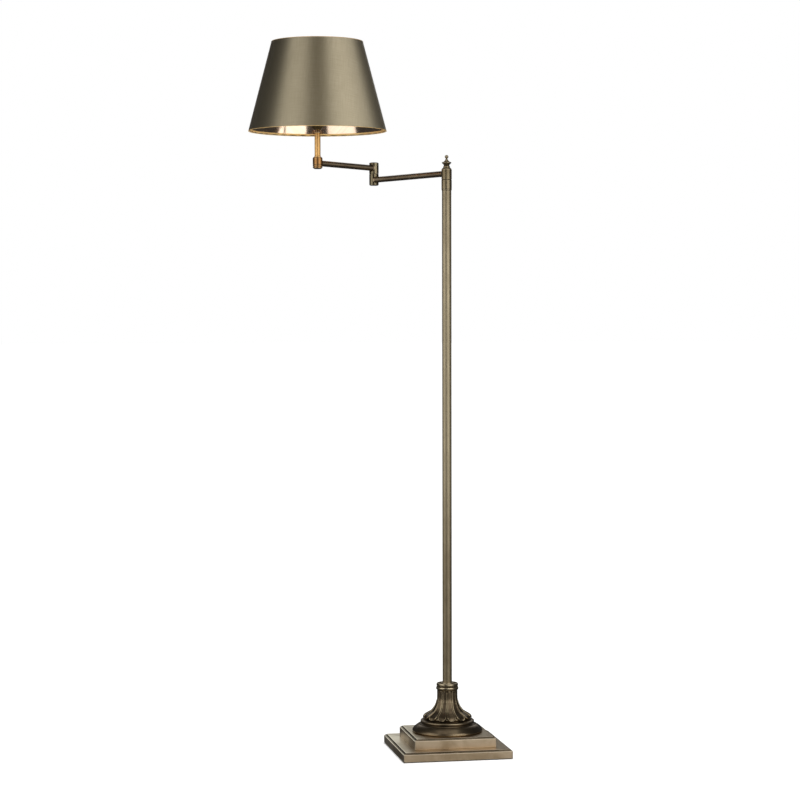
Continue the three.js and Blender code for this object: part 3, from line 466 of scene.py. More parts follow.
# %% Shade cloth and foil
def woven_satin():
    """Two wave patterns cross at right angles for the threads, and stretched noise gives the slubs both
    ways."""
    material, tree, shader = new_material("shade_satin")
    flat = coordinates(tree, "UV", (1, 1, 1))
    weave = {"Vector": flat, "Scale": 330, "Distortion": 0.6, "Detail": 1.0, "Detail Scale": 1.5}
    warp = put(tree, "ShaderNodeTexWave", weave, bands_direction="X").outputs["Fac"]
    weft = put(tree, "ShaderNodeTexWave", weave, bands_direction="Y").outputs["Fac"]
    slubs_across = noise(tree, coordinates(tree, "UV", (24, 900, 1)), 1, 3, 0.6)
    slubs_up = noise(tree, coordinates(tree, "UV", (900, 24, 1)), 1, 3, 0.6)
    slubs = math(tree, "MULTIPLY", math(tree, "ADD", slubs_across, slubs_up), 0.5)
    clouds = noise(tree, coordinates(tree, "Object", (1, 1, 1)), 7, 4, 0.5)
    threads = math(tree, "MULTIPLY", math(tree, "ADD", warp, weft), 0.5)
    colour = mixed(tree, remap(tree, slubs, 0.3, 0.7), rgb(152, 142, 118), rgb(168, 157, 134))
    colour = mixed(tree, remap(tree, clouds, 0.35, 0.7, 0, 0.4), colour, rgb(153, 143, 119))
    tree.links.new(colour, shader.inputs["Base Color"])
    tree.links.new(remap(tree, slubs, 0.3, 0.7, 0.43, 0.37), shader.inputs["Roughness"])
    relief = math(tree, "ADD", threads, slubs)
    bump = put(tree, "ShaderNodeBump", {"Height": relief, "Strength": 0.1, "Distance": 0.0001})
    tree.links.new(bump.outputs[0], shader.inputs["Normal"])
    shader.inputs["Metallic"].default_value = 0.97
    shader.inputs["Sheen Weight"].default_value = 0.02
    return material


def foil(name, deep, bright, roughness):
    """Metallised film: long faint rolling marks and a slight cloudiness."""
    material, tree, shader = new_material(name)
    marks = noise(tree, coordinates(tree, "UV", (5, 160, 1)), 1, 3, 0.5)
    clouds = noise(tree, coordinates(tree, "Object", (1, 1, 1)), 10, 3, 0.5)
    average = math(tree, "MULTIPLY", math(tree, "ADD", marks, clouds), 0.5)
    colour = mixed(tree, remap(tree, average, 0.35, 0.65), deep, bright)
    tree.links.new(colour, shader.inputs["Base Color"])
    rough = remap(tree, clouds, 0.3, 0.7, roughness - 0.03, roughness + 0.04)
    tree.links.new(rough, shader.inputs["Roughness"])
    bump = put(tree, "ShaderNodeBump", {"Height": clouds, "Strength": 0.05, "Distance": 0.0005})
    tree.links.new(bump.outputs[0], shader.inputs["Normal"])
    shader.inputs["Metallic"].default_value = 1
    return material


shade_satin = woven_satin()
lining_foil = foil("lining_foil", rgb(238, 206, 178), rgb(250, 224, 198), 0.11)
hem_foil = foil("hem_foil", rgb(236, 190, 116), rgb(248, 212, 146), 0.34)
hem_foil.node_tree.nodes["Principled BSDF"].inputs["Metallic"].default_value = 0.4
print("shade finishes ready")

# %% [markdown]
# The rest are plain workshop materials. Most of these parts sit inside the lamp, and stay as the packed
# model has them: a plain finish with a little variation is enough.

# %% Workshop materials
def workshop(name, dark, light, rough, metallic=0.0, scale=60.0, relief=0.1, depth=0.0003):
    """Two tones clouded into each other, with a matching relief."""
    material, tree, shader = new_material(name)
    grain = noise(tree, coordinates(tree, "Object", (1, 1, 1)), scale, 5, 0.6)
    tree.links.new(mixed(tree, remap(tree, grain, 0.3, 0.7), dark, light), shader.inputs["Base Color"])
    tree.links.new(remap(tree, grain, 0.3, 0.7, rough - 0.05, rough + 0.08), shader.inputs["Roughness"])
    bump = put(tree, "ShaderNodeBump", {"Height": grain, "Strength": relief, "Distance": depth})
    tree.links.new(bump.outputs[0], shader.inputs["Normal"])
    shader.inputs["Metallic"].default_value = metallic
    return material


steel = workshop("zinc_steel", rgb(150, 150, 148), rgb(192, 192, 190), 0.34, 1.0, 240)
iron = workshop("cast_iron_grey", rgb(52, 51, 50), rgb(84, 83, 81), 0.7, 0.6, 300, 0.5)
felt = workshop("felt_black", rgb(26, 24, 23), rgb(48, 45, 42), 0.95, 0.0, 1400, 0.9, 0.0006)
rubber = workshop("flex_rubber", rgb(22, 21, 20), rgb(38, 37, 35), 0.62, 0.0, 500, 0.3)
porcelain = workshop("holder_ceramic", rgb(228, 224, 212), rgb(240, 237, 228), 0.28, 0.0, 120,
                     0.05)
nylon = workshop("nylon_bush", rgb(66, 56, 44), rgb(86, 74, 58), 0.5, 0.0, 200, 0.1)


def frosted():
    """Etched glass: milky inside, a fine roughness that varies, and a slight gloss on top."""
    material, tree, shader = new_material("frosted_bulb")
    etch = noise(tree, coordinates(tree, "Object", (1, 1, 1)), 900, 3, 0.6)
    tree.links.new(mixed(tree, etch, rgb(236, 232, 220), rgb(250, 248, 240)), shader.inputs["Base Color"])
    tree.links.new(remap(tree, etch, 0.3, 0.7, 0.32, 0.5), shader.inputs["Roughness"])
    bump = put(tree, "ShaderNodeBump", {"Height": etch, "Strength": 0.2, "Distance": 0.0001})
    tree.links.new(bump.outputs[0], shader.inputs["Normal"])
    shader.inputs["Subsurface Weight"].default_value = 0.35
    shader.inputs["Subsurface Scale"].default_value = 0.01
    shader.inputs["Coat Weight"].default_value = 0.3
    return material


bulb_glass = frosted()

# %% [markdown]
# ## Plinth
# Two square plates are stepped on each other. Each has a plain upright face, and above it a small ledge,
# a cove and a riser up to its flat top. The section is carried round a square whose corners are slightly
# rounded.

# %% Square sections
def ends(node):
    """Bottom and top of a CAD node, in millimetres."""
    low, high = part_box(node)
    return low.z / MM, high.z / MM


def half(node):
    """Half a CAD node's width across x, in millimetres."""
    low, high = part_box(node)
    return (high.x - low.x) / 2 / MM


def middle(node):
    """A CAD node's middle as x and y, in metres, and z = 0."""
    low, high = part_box(node)
    return np.array(((low.x + high.x) / 2, (low.y + high.y) / 2, 0))


def square_sweep(profile, corner=1.6, steps=7):
    """The profile is (half width, z). Each row is a square whose four corners are quarter circles: a
    corner's centre stands half - r in from each side, and the point at angle a lies r (cos a, sin a) from
    it."""
    radius = np.minimum(corner, profile[:, 0])[:, None]
    quarter = np.linspace(0, np.pi / 2, steps)
    angle = (np.arange(4)[:, None] * np.pi / 2 + quarter).ravel()[None]
    turn = (np.arange(4) * np.pi / 2 + np.pi / 4).repeat(steps)[None]
    reach = profile[:, :1] - radius
    x = np.sign(np.cos(turn)) * reach + radius * np.cos(angle)
    y = np.sign(np.sin(turn)) * reach + radius * np.sin(angle)
    return np.stack([x, y, np.broadcast_to(profile[:, 1:], x.shape)], -1) * MM


def plinth(name):
    """The section of a plate: its moulding is given by the way in from the face and the rise above the
    face's top. The rows in the moulding's hollow are toned down as painted shade."""
    width = half(name)
    bottom, top = ends(name)
    moulding = [(0, 0, 0.7), (1.5, 0.2, 0.2), (1.9, 0.3, 0.2), (2.3, 1.6, 0.9), (4.1, 2.2, 0.6),
                (4.7, 2.3, 0.2), (5.2, 2.4, 0.2), (5.4, 3.3, 0.2), (6.0, 3.6, 0.3)]
    face_top = top - moulding[-1][1]
    line = [(0, bottom, 0), (width - 0.5, bottom, 0.4), (width, bottom + 0.5, 0.4)]
    line += [(width - inset, face_top + rise, ease) for inset, rise, ease in moulding]
    line = rounded(line + [(0, top, 0)])
    inset, rise = width - line[:, 0], line[:, 1] - face_top
    # Painted shade in the moulding's hollow: these rows are toned down.
    cove = (inset > 1.7) & (rise > 0.25) & (rise < 3.35)
    return skin(square_sweep(line), tone=-0.4 * cove)


for name, node in (("lower_plate", "lower_plinth"), ("upper_plate", "upper_plinth")):
    piece(name, [plinth(node)], "base", plinth_bronze, node, extra=("plinth",))
pad_bottom, pad_top = ends("felt_pad")
pad_half = half("felt_pad")
pad = rounded([(0, pad_bottom, 0), (pad_half, pad_bottom, 0.4), (pad_half, pad_top, 0.3), (0, pad_top, 0)])
piece("felt_sole", [skin(square_sweep(pad))], "base", felt, "felt_pad")

# %% [markdown]
# ## Leafed foot
# The foot is one casting: a flange with a round nose, a bead, and a trumpet that is covered by long
# leaves. Each leaf is a tongue: narrow and rounded at the neck, wide at its tip, where it is dished and
# has a raised rim. The leaves could be sculpted one by one, but they are all alike, so they are a height
# added along the normal of the trumpet, from how far each point lies inside a leaf's outline.

# %% Foot surface
LEAVES = 14
LEAF_COLUMNS = 28
foot_bottom, foot_top = ends("fluted_foot")
flange = half("fluted_foot")
bead = flange - 18.1
flange_line = rounded([(0, foot_bottom, 0), (flange - 2.6, foot_bottom, 0.6),
                       (flange, foot_bottom + 2.6, 2.2),
                       (flange - 1.6, foot_bottom + 6.4, 2.4), (flange - 7.6, foot_bottom + 12.4, 3.0),
                       (flange - 12.8, foot_bottom + 15.8, 1.2), (flange - 15.4, foot_bottom + 16.4, 0.6),
                       (bead - 1.4, foot_bottom + 19.4, 0.5), (bead + 0.2, foot_bottom + 21.4, 1.4),
                       (bead - 0.2, foot_bottom + 24.2, 1.6), (bead - 3.8, foot_bottom + 25.5, 0.6),
                       (50.4, foot_bottom + 26.2, 0.4)], 6)
trumpet_line = smooth([(50.0, foot_bottom + 26.4), (51.2, foot_bottom + 31.0), (48.5, foot_bottom + 35.1),
                       (41.5, foot_bottom + 39.6), (34.8, foot_bottom + 44.1), (31.4, foot_bottom + 48.1),
                       (28.6, foot_bottom + 52.1), (26.3, foot_bottom + 56.6), (24.4, foot_bottom + 61.1),
                       (23.5, foot_bottom + 65.1), (22.0, foot_bottom + 69.1), (21.6, foot_bottom + 75.0),
                       (21.5, foot_bottom + 82.0), (21.4, foot_top - 0.6)], 10)


def leafed(line, columns):
    """Adds the leaves to a trumpet. t is the way from the tips and a the way across a leaf from its
    middle, both in millimetres. The outline's half width is the leaf's share of the round, and narrows to
    the tip as an ellipse. Height = thickness inside the outline + a rim just inside it + a crown of 1 -
    (a / half width)^2 times a factor, which is negative near the tips, where it dishes the leaf, and
    positive near the neck."""
    way = lengths(line, False)
    t = way[:, None]
    r, z = line[:, 0, None], line[:, 1, None]
    slope = np.gradient(line, axis=0)
    slope /= np.linalg.norm(slope, axis=1, keepdims=True)
    out_r, out_z = slope[:, 1, None], -slope[:, 0, None]
    angle = np.arange(columns) * 2 * np.pi / columns
    share = (angle * LEAVES / (2 * np.pi) + 0.5) % 1 - 0.5
    across = np.abs(share)[None] * 2 * np.pi * r / LEAVES
    tip, length = 2.2, way[-1]
    nearness = np.clip((t - tip) / 11.0, 0, 1)
    width = 0.92 * np.pi * r / LEAVES * np.sqrt(np.clip(1 - (1 - nearness) ** 2, 0, 1))
    inside = np.minimum(width - across, (t - tip) * 1.2)
    up = np.clip(t / length, 0, 1)
    thick = 3.2 * (1 - up) ** 1.3 + 1.1
    fade = np.clip((length - t) / 0.6, 0, 1)
    step = np.clip(inside / (0.5 + 0.9 * (1 - up)) + 0.5, 0, 1)
    step = step * step * (3 - 2 * step)
    rim = np.exp(-(((inside - 1.5) / 0.9) ** 2)) * (0.8 * (1 - up) ** 1.5 + 0.08)
    crown = np.clip(1 - (across / np.maximum(width, 0.1)) ** 2, 0, 1)
    crown *= 0.9 * up - 1.4 * (1 - up) ** 1.5
    height = fade * (step * thick + rim + np.where(inside > 0, crown, 0) - thick * 0.75 - 0.8 * up)
    ring = np.stack([np.cos(angle - np.pi / 2), np.sin(angle - np.pi / 2)], -1)[None]
    radius = (r + out_r * height)[..., None]
    level = np.broadcast_to((z + out_z * height)[..., None], radius.shape)
    return np.concatenate([radius * ring, level], -1) * MM


foot_columns = LEAVES * LEAF_COLUMNS
cap_line = np.array([(21.4, foot_top), (0, foot_top)])
flange_grid, cap_grid = (
    np.roll(revolve(line, (0, 0, 0), foot_columns), foot_columns // 4, 1) for line in (flange_line, cap_line)
)
foot_grid = np.concatenate([flange_grid, leafed(trumpet_line, foot_columns), cap_grid])
height = foot_grid[:, 0, 2] / MM - foot_bottom
# Painted light and shade in the foot's tone: a painted highlight on the flange's nose, painted shade from the
# flange's slope up to the bead, and painted shadow at the neck under the collar.
nose, flange_face, bead_top, neck = 3.0, 3.6, 26, 85
painted_light_tone = 0.12 * (height < nose) - 0.2 * (height > neck)
painted_light_tone -= 0.08 * ((height > flange_face) & (height < bead_top))
piece("leafed_foot", [skin(foot_grid, tone=painted_light_tone)], "base", foot_bronze, "fluted_foot", sharp=60)

# %% [markdown]
# ## Collar and pole
# A collar of two beads finishes the neck. Its top is sunk, and a small ring stands in it round the pole.
# Rings are wrapped profiles, so they stay open for the tube that goes through them.

# %% Collar, seat ring and pole
collar_bottom, collar_top = ends("foot_collar")
collar_half = half("foot_collar")
collar = rounded([(12, collar_bottom, 0), (collar_half - 2.4, collar_bottom, 0.3),
                  (collar_half - 1.9, collar_bottom + 0.8, 0.3), (collar_half, collar_bottom + 2.0, 1.5),
                  (collar_half, collar_bottom + 6.6, 1.7), (collar_half - 2.1, collar_bottom + 7.7, 0.5),
                  (collar_half - 2.1, collar_bottom + 8.6, 0.4),
                  (collar_half - 0.8, collar_bottom + 9.4, 1.0),
                  (collar_half - 0.8, collar_top - 1.6, 1.4), (collar_half - 2.4, collar_top, 0.9),
                  (collar_half - 5.6, collar_top, 0.5), (collar_half - 6.4, collar_top - 1.4, 0.4),
                  (10.3, collar_top - 1.4, 0), (10.3, collar_bottom, 0)])
turned("beaded_collar", collar, (0, 0, 0), 128, "base", bronze, "foot_collar", ring=True)
seat_bottom, seat_top = ends("seat_ring")
seat_half = half("seat_ring")
seat = rounded([(10.2, seat_bottom, 0), (seat_half, seat_bottom, 0.3), (seat_half, seat_top, 1.3),
                (10.2, seat_top, 0.4)])
turned("seat_bead", seat, (0, 0, 0), 96, "base", bronze, "seat_ring", ring=True)
pole_bottom, pole_top = ends("pole_tube")
pole_half = half("pole_tube")
pole = rounded([(0, pole_bottom, 0), (pole_half, pole_bottom, 0), (pole_half, pole_bottom + 200, 0),
                (pole_half, pole_bottom + 500, 0), (pole_half, pole_bottom + 800, 0),
                (pole_half, pole_top, 0.3), (0, pole_top, 0)])
turned("pole_shell", pole, (0, 0, 0), 96, "base", pole_bronze, "pole_tube")

# %% [markdown]
# ## Hub
# The pole ends in a socket with a bevelled foot. The first arm turns on it, in a barrel of the same
# width, and a finial closes the top: a waisted skirt, a sharp-edged disc, a thin neck and a ball.

# %% Hub and finial
socket_bottom, socket_top = pole_top, ends("hub_socket")[1]
hub_half = half("hub_knuckle")
socket = rounded([(0, socket_bottom, 0), (pole_half + 0.2, socket_bottom, 0.1),
                  (hub_half, socket_bottom + 0.9, 0.2), (hub_half, socket_bottom + 2.4, 0.1),
                  (hub_half - 0.35, socket_bottom + 2.7, 0.1), (hub_half - 0.35, socket_bottom + 3.1, 0.1),
                  (hub_half, socket_bottom + 3.4, 0.1), (hub_half, socket_top - 0.4, 0.1),
                  (hub_half - 0.4, socket_top, 0.1), (0, socket_top, 0)])
turned("hub_cup", socket, (0, 0, 0), 96, "base", hub_bronze, "hub_socket")
hub_bottom, hub_top = ends("hub_knuckle")
hub = rounded([(0, hub_bottom, 0), (hub_half - 0.4, hub_bottom, 0.1), (hub_half, hub_bottom + 0.4, 0.1),
               (hub_half, hub_top - 3.6, 1.6), (hub_half - 2.4, hub_top - 0.9, 1.8), (7.2, hub_top, 0.6),
               (0, hub_top, 0)])
turned("hub_barrel", hub, (0, 0, 0), 96, "inner_arm", hub_bronze, "hub_knuckle")
finial_bottom, finial_top = hub_top + 0.3, ends("finial")[1]
ball_radius = 3.95
turn = np.radians(np.linspace(-66, 90, 16))[:, None]
ball_line = np.concatenate([ball_radius * np.cos(turn), finial_top + ball_radius * (np.sin(turn) - 1)], 1)
ball_line[-1, 0] = 0
finial = np.concatenate([
    rounded([(0, finial_bottom, 0), (7.4, finial_bottom, 0.3), (7.2, finial_bottom + 1.8, 0.8),
             (6.0, finial_bottom + 3.6, 0.8), (6.0, finial_bottom + 5.2, 0.8),
             (8.0, finial_bottom + 7.6, 1.6), (10.2, finial_bottom + 9.4, 0.4),
             (10.4, finial_bottom + 10.4, 0.3), (9.2, finial_bottom + 11.2, 0.5),
             (6.4, finial_bottom + 12.0, 0.8), (3.6, finial_bottom + 15.0, 1.2),
             (2.1, finial_bottom + 17.6, 0.6), (1.8, finial_bottom + 18.7, 0.3)]),
    ball_line,
])
piece("finial_turning", [skin(revolve(finial, (0, 0, 0), 72), tone=-0.16)], "base", bronze, "finial")

# %% [markdown]
# ## Arms
# Each arm is a tube between two upright barrels. Where it meets a barrel, its end follows the barrel's
# round side, and a little braze spreads its foot.

# %% Arm tubes
BRAZE_LENGTH, BRAZE_SPREAD = 3.4, 1.3


def arm_tube(start, end, level, radius, first, last, columns=72):
    """A tube from barrel to barrel. At lateral offset s from its middle the tube leaves a barrel of
    radius R at sqrt(R^2 - s^2) from the barrel's axis. Over the braze's length, its own radius is wider
    by spread (1 - t / length)^2."""
    along = np.array((*(end - start)[:2], 0))
    reach = np.linalg.norm(along) / MM
    along /= np.linalg.norm(along)
    up = np.array((0, 0, 1.0))
    side = np.cross(up, along)
    angle = np.arange(columns) * 2 * np.pi / columns
    t = np.array([-1.2, 0, 0.3, 0.7, 1.2, 1.8, 2.6, 3.4, 4.4, 30, 60])[:, None]
    wide = radius + BRAZE_SPREAD * np.clip(1 - np.maximum(t, 0) / BRAZE_LENGTH, 0, 1) ** 2

    def leaving(barrel):
        return np.sqrt(barrel**2 - (wide * np.cos(angle)) ** 2) + t

    near, far = leaving(first), reach - leaving(last)[::-1]
    first_end, last_end = np.full((1, columns), near.min() - 1), np.full((1, columns), far.max() + 1)
    distance = np.concatenate([first_end, near, far, last_end])
    width = np.concatenate([[[0]], wide, wide[::-1], [[0]]])
    place = start * (1, 1, 0) + (0, 0, level * MM)
    return (place + distance[..., None] * MM * along + (width * np.cos(angle))[..., None] * MM * side
            + (width * np.sin(angle))[..., None] * MM * up)


hub_place = np.zeros(3)
elbow_place = middle("elbow_bush")
head_place = middle("stem_tube")
arm_low, arm_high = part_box("inner_arm_tube")
inner_level = (arm_low.z + arm_high.z) / 2 / MM
arm_radius = (arm_high.z - arm_low.z) / 2 / MM
arm_low, arm_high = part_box("outer_arm_tube")
outer_level = (arm_low.z + arm_high.z) / 2 / MM
barrel_half = 10.5
inner_tube = arm_tube(hub_place, elbow_place, inner_level, arm_radius, hub_half, barrel_half)
piece("inner_arm_shell", [skin(inner_tube)], "inner_arm", arm_bronze, "inner_arm_tube", extra=("arms",))
outer_tube = arm_tube(elbow_place, head_place, outer_level, arm_radius, barrel_half, barrel_half)
piece("outer_arm_shell", [skin(outer_tube)], "outer_arm", arm_bronze, "outer_arm_tube", extra=("arms",))
print("elbow at", elbow_place, "head at", head_place)

# %% Elbow barrels
low_bottom, low_top = ends("elbow_low_cap")[0], ends("elbow_low_knuckle")[1]
low_barrel = rounded([(0, low_bottom, 0), (barrel_half - 2.4, low_bottom, 0.6),
                      (barrel_half, low_bottom + 1.4, 1.0), (barrel_half, low_bottom + 3.3, 0.1),
                      (barrel_half - 0.3, low_bottom + 3.55, 0.1), (barrel_half - 0.3, low_bottom + 3.8, 0.1),
                      (barrel_half, low_bottom + 4.05, 0.1), (barrel_half, low_top - 0.4, 0.1),
                      (barrel_half - 0.4, low_top, 0.1), (0, low_top, 0)])
turned("elbow_low_barrel", low_barrel, elbow_place, 80, "inner_arm", knuckle_bronze,
       "elbow_low_knuckle", "elbow_low_cap")
high_bottom, high_top = ends("elbow_high_knuckle")[0], ends("elbow_high_cap")[1]
high_barrel = rounded([(0, high_bottom, 0), (barrel_half - 0.4, high_bottom, 0.1),
                       (barrel_half, high_bottom + 0.4, 0.1), (barrel_half, high_top - 4.05, 0.1),
                       (barrel_half - 0.3, high_top - 3.8, 0.1), (barrel_half - 0.3, high_top - 3.55, 0.1),
                       (barrel_half, high_top - 3.3, 0.1), (barrel_half, high_top - 1.4, 1.0),
                       (barrel_half - 2.4, high_top, 0.6), (0, high_top, 0)])
turned("elbow_high_barrel", high_barrel, elbow_place, 80, "outer_arm", knuckle_bronze,
       "elbow_high_knuckle", "elbow_high_cap")

# %% [markdown]
# ## Stem and lampholder
# The second arm ends in a barrel, and a slim stem stands on it and carries the lampholder, whose brass
# dome and skirt hold the shade's ring between a shoulder and a screwed ring. Barrel and stem are coloured
# gold partly by their metal and partly as a painted warm reflection of the lit lining.

# %% Head barrel and stem
head_bottom, head_top = ends("head_cap")[0], ends("head_knuckle")[1]
head_barrel = rounded([(0, head_bottom, 0), (barrel_half - 3.4, head_bottom, 1.2),
                       (barrel_half, head_bottom + 2.6, 1.6),
                       (barrel_half, head_bottom + 4.7, 0.1), (barrel_half - 0.9, head_bottom + 5.2, 0.2),
                       (barrel_half - 0.9, head_bottom + 6.0, 0.2), (barrel_half, head_bottom + 6.5, 0.1),
                       (barrel_half, head_bottom + 8.7, 0.1), (barrel_half - 0.7, head_bottom + 9.1, 0.2),
                       (barrel_half - 0.7, head_bottom + 9.7, 0.2), (barrel_half, head_bottom + 10.1, 0.1),
                       (barrel_half, head_top - 1.6, 0.3), (barrel_half - 1.1, head_top - 1.0, 0.2),
                       (barrel_half - 1.1, head_top, 0.3), (0, head_top, 0)])
turned("head_barrel", head_barrel, head_place, 80, "outer_arm", barrel_brass_and_reflection, "head_knuckle", "head_cap")
washer_bottom, washer_top = ends("stem_washer")
washer_half = half("stem_washer")
stem_half = half("stem_tube")
stem_top = ends("stem_tube")[1]
stem = rounded([(0, washer_bottom, 0), (washer_half, washer_bottom, 0.5), (washer_half, washer_top, 0.7),
                (stem_half, washer_top + 0.2, 0.2), (stem_half, stem_top, 0.3), (0, stem_top, 0)])
turned("stem_shell", stem, head_place, 72, "outer_arm", stem_brass_and_reflection, "stem_washer", "stem_tube",
       extra=("arms", "column"))

# %% Lampholder
ring_bottom, ring_top = ends("holder_ring")
ring_half = half("holder_ring")
ring = rounded([(0, ring_bottom, 0), (ring_half, ring_bottom, 0.5), (ring_half, ring_top - 1.2, 0.4),
                (ring_half - 0.6, ring_top, 0.3), (0, ring_top, 0)])
turned("holder_nipple", ring, head_place, 72, "outer_arm", arm_bronze, "holder_ring")
dome_bottom, dome_top = ends("holder_cap")
skirt_top = ends("holder_skirt")[1]
holder_half = half("holder_cap")
seat_edge = half("holder_skirt")
shade_seat = ends("shade_gimbal")[0] - 0.3
holder = rounded([(0, dome_bottom, 0), (ring_half, dome_bottom, 0.2),
                  (ring_half + 2.2, dome_bottom + 1.0, 1.0),
                  (holder_half - 4.6, dome_bottom + 10.4, 6.0), (holder_half, dome_bottom + 17.0, 3.0),
                  (holder_half, dome_top - 1.2, 0.3), (holder_half - 0.5, dome_top - 0.4, 0.2),
                  (holder_half, dome_top + 0.4, 0.3), (holder_half, shade_seat - 1.7, 0.2),
                  (seat_edge, shade_seat - 1.6, 0.5), (seat_edge, shade_seat, 0.3),
                  (holder_half, shade_seat + 0.1, 0.1),
                  (holder_half, skirt_top, 0.3), (holder_half - 1.2, skirt_top, 0.3),
                  (holder_half - 1.2, dome_bottom + 17.0, 2.0), (0, dome_bottom + 8.0, 0)])
turned("holder_body", holder, head_place, 96, "outer_arm", holder_brass, "holder_cap", "holder_skirt")
nut_bottom, nut_top = ends("shade_nut")
nut_half = half("shade_nut")
shade_nut = rounded([(holder_half + 0.2, nut_bottom, 0.2), (nut_half, nut_bottom, 0.5),
                     (nut_half, nut_bottom + 1.6, 0.3),
                     (nut_half - 0.5, nut_bottom + 2.0, 0.2), (nut_half - 0.5, nut_top - 0.8, 0.4),
                     (nut_half - 1.1, nut_top, 0.3), (holder_half + 0.2, nut_top, 0.2)])
turned("shade_ring_nut", shade_nut, head_place, 96, "outer_arm", holder_brass, "shade_nut", ring=True)

# %% [markdown]
# The switch is a small knob at the back of the lampholder. Its rim is cut with fine ribs: the radius
# rises and falls as a cosine round the rim. The bulb is a frosted globe whose neck runs down into a screw
# cap.

# %% Switch knob and bulb
KNOB_COLUMNS, KNOB_RIBS = 144, 18
knob_low, knob_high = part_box("switch_knob")
knob_axis = np.array(((knob_low.x + knob_high.x) / 2, 0, (knob_low.z + knob_high.z) / 2))
knob_half = (knob_high.x - knob_low.x) / 2 / MM
knob_start, knob_end = knob_low.y / MM, knob_high.y / MM
knob_line = rounded([(0, knob_start, 0), (2.0, knob_start, 0.2), (2.0, knob_end - 11.0, 0.2),
                     (knob_half - 1.2, knob_end - 10.8, 0.5), (knob_half, knob_end - 9.2, 0.6),
                     (knob_half, knob_end - 1.4, 0.7), (knob_half - 1.6, knob_end - 0.1, 0.7),
                     (0, knob_end, 0)])
knob_grid = revolve(knob_line, (0, 0, 0), KNOB_COLUMNS, (0, 1, 0))
rib_angle = np.arange(KNOB_COLUMNS) * 2 * np.pi / KNOB_COLUMNS * KNOB_RIBS
rim = knob_line[:, :1] > knob_half - 0.8
ribs = 1 - 0.05 * (1 - np.cos(rib_angle)) / 2 * rim
knob_grid[..., [0, 2]] *= ribs[..., None]
piece("switch_button", [skin(knob_grid + knob_axis)], "switch", arm_bronze, "switch_knob")
globe_bottom, globe_top = ends("bulb_globe")
globe_half = half("bulb_globe")
globe_middle = globe_top - globe_half
sweep = np.radians(np.linspace(-52, 90, 30))[:, None]
globe = np.concatenate([
    smooth([(0, globe_bottom), (12.2, globe_bottom + 0.1), (12.6, globe_bottom + 5),
            (13.4, globe_bottom + 12),
            (globe_half * np.cos(sweep[0, 0]), globe_middle + globe_half * np.sin(sweep[0, 0]))], 8)[:-1],
    np.concatenate([globe_half * np.cos(sweep), globe_middle + globe_half * np.sin(sweep)], 1),
])
globe[-1, 0] = 0
turned("bulb_envelope", globe, head_place, 80, "outer_arm", bulb_glass, "bulb_globe")

# %% [markdown]
# ## Shade
# The shade is a cone's frustum with a seam down its back, where the laminate laps over itself. Both edges
# are rolled over a wire and bound in foil. The lining is the same frustum just inside, in copper foil.

# %% Shade shells
shade_bottom, shade_top = ends("shade_bottom_hem")[0], ends("shade_top_hem")[1]
bottom_half, top_half = half("shade_bottom_hem"), half("shade_top_hem")
taper = (bottom_half - top_half) / (shade_top - shade_bottom)
SHADE_COLUMNS, SHADE_ROWS = 288, 40
seam_azimuth = np.radians(70.4)
seam_overlap = 12
around = np.arange(SHADE_COLUMNS + 1) * 2 * np.pi / SHADE_COLUMNS


def cone(offset, bottom, top, lap=0.0):
    """Radius = bottom radius - taper * height above the rim - offset, and the lap lifts the last part of
    the way round, as long as the seam's overlap, by its thickness. Angles start at the seam."""
    z = np.linspace(bottom, top, SHADE_ROWS)[:, None]
    r = bottom_half - taper * (z - shade_bottom) - offset
    before_seam = (2 * np.pi - around[:-1]) * r
    r = r + lap * np.clip((seam_overlap - before_seam) / 0.8, 0, 1)
    angle = around[:-1] + seam_azimuth
    return np.stack([r * np.cos(angle), r * np.sin(angle), np.broadcast_to(z, r.shape)], -1) * MM + head_place


def unrolled(z):
    """UV of a cone laid flat: a point at slant distance d from the apex and angle a goes to d at angle a
    sin(half opening), with the middle of the sheet along v."""
    z = np.asarray(z, float)[:, None]
    opening = np.arctan(taper)
    slant = (bottom_half - taper * (z - shade_bottom)) / np.sin(opening)
    spread = (around - np.pi) * np.sin(opening)
    return np.stack([slant * np.sin(spread), slant * np.cos(spread)], -1) * MM


cover_outside, cover_inside, lining_outside, lining_inside = 0.3, 1.0, 1.1, 1.6
laminate_step = 0.3
cover_levels = np.linspace(shade_bottom + 0.9, shade_top - 0.9, SHADE_ROWS)
cover_start, cover_end = cover_levels[0], cover_levels[-1]
cover_grid = np.concatenate([
    cone(cover_outside, cover_start, cover_end, laminate_step),
    cone(cover_inside, cover_start, cover_end)[::-1],
])
cover_uv = unrolled(np.concatenate([cover_levels, cover_levels[::-1], cover_levels[:1]]))
cover_skin = skin(cover_grid, True, cover_uv)
piece("shade_laminate", [cover_skin], "outer_arm", shade_satin, "shade_cover", extra=("cloth",))
lining_grid = np.concatenate([
    cone(lining_outside, cover_start + 0.6, cover_end - 0.6),
    cone(lining_inside, cover_start + 0.6, cover_end - 0.6)[::-1],
])
piece("shade_foil", [skin(lining_grid, True, cover_uv)], "outer_arm", lining_foil, "shade_lining")


def binding(rim_half, rim, away):
    """A foil strip folded round the wire: a thin lip on the outside, the bead of the wire under the edge,
    and a wider lip up the inside. Each point is (way in from the cone's side, way from the rim,
    rounding)."""
    section = np.array([(0.0, 0.7, 0.1), (0.0, 0.3, 0.15), (0.4, 0.0, 0.2), (1.8, 0.2, 0.6), (2.9, 1.4, 0.8),
                        (2.9, 3.0, 0.6), (2.3, 3.9, 0.3), (2.2, 5.4, 0.15), (1.75, 5.4, 0.1),
                        (1.65, 1.6, 0.2), (0.35, 0.7, 0.1)])
    section[:, 0] = rim_half - section[:, 0] - away * taper * section[:, 1]
    section[:, 1] = rim + away * section[:, 1]
    return rounded(section[::-1] if away > 0 else section, 4, 0.3)


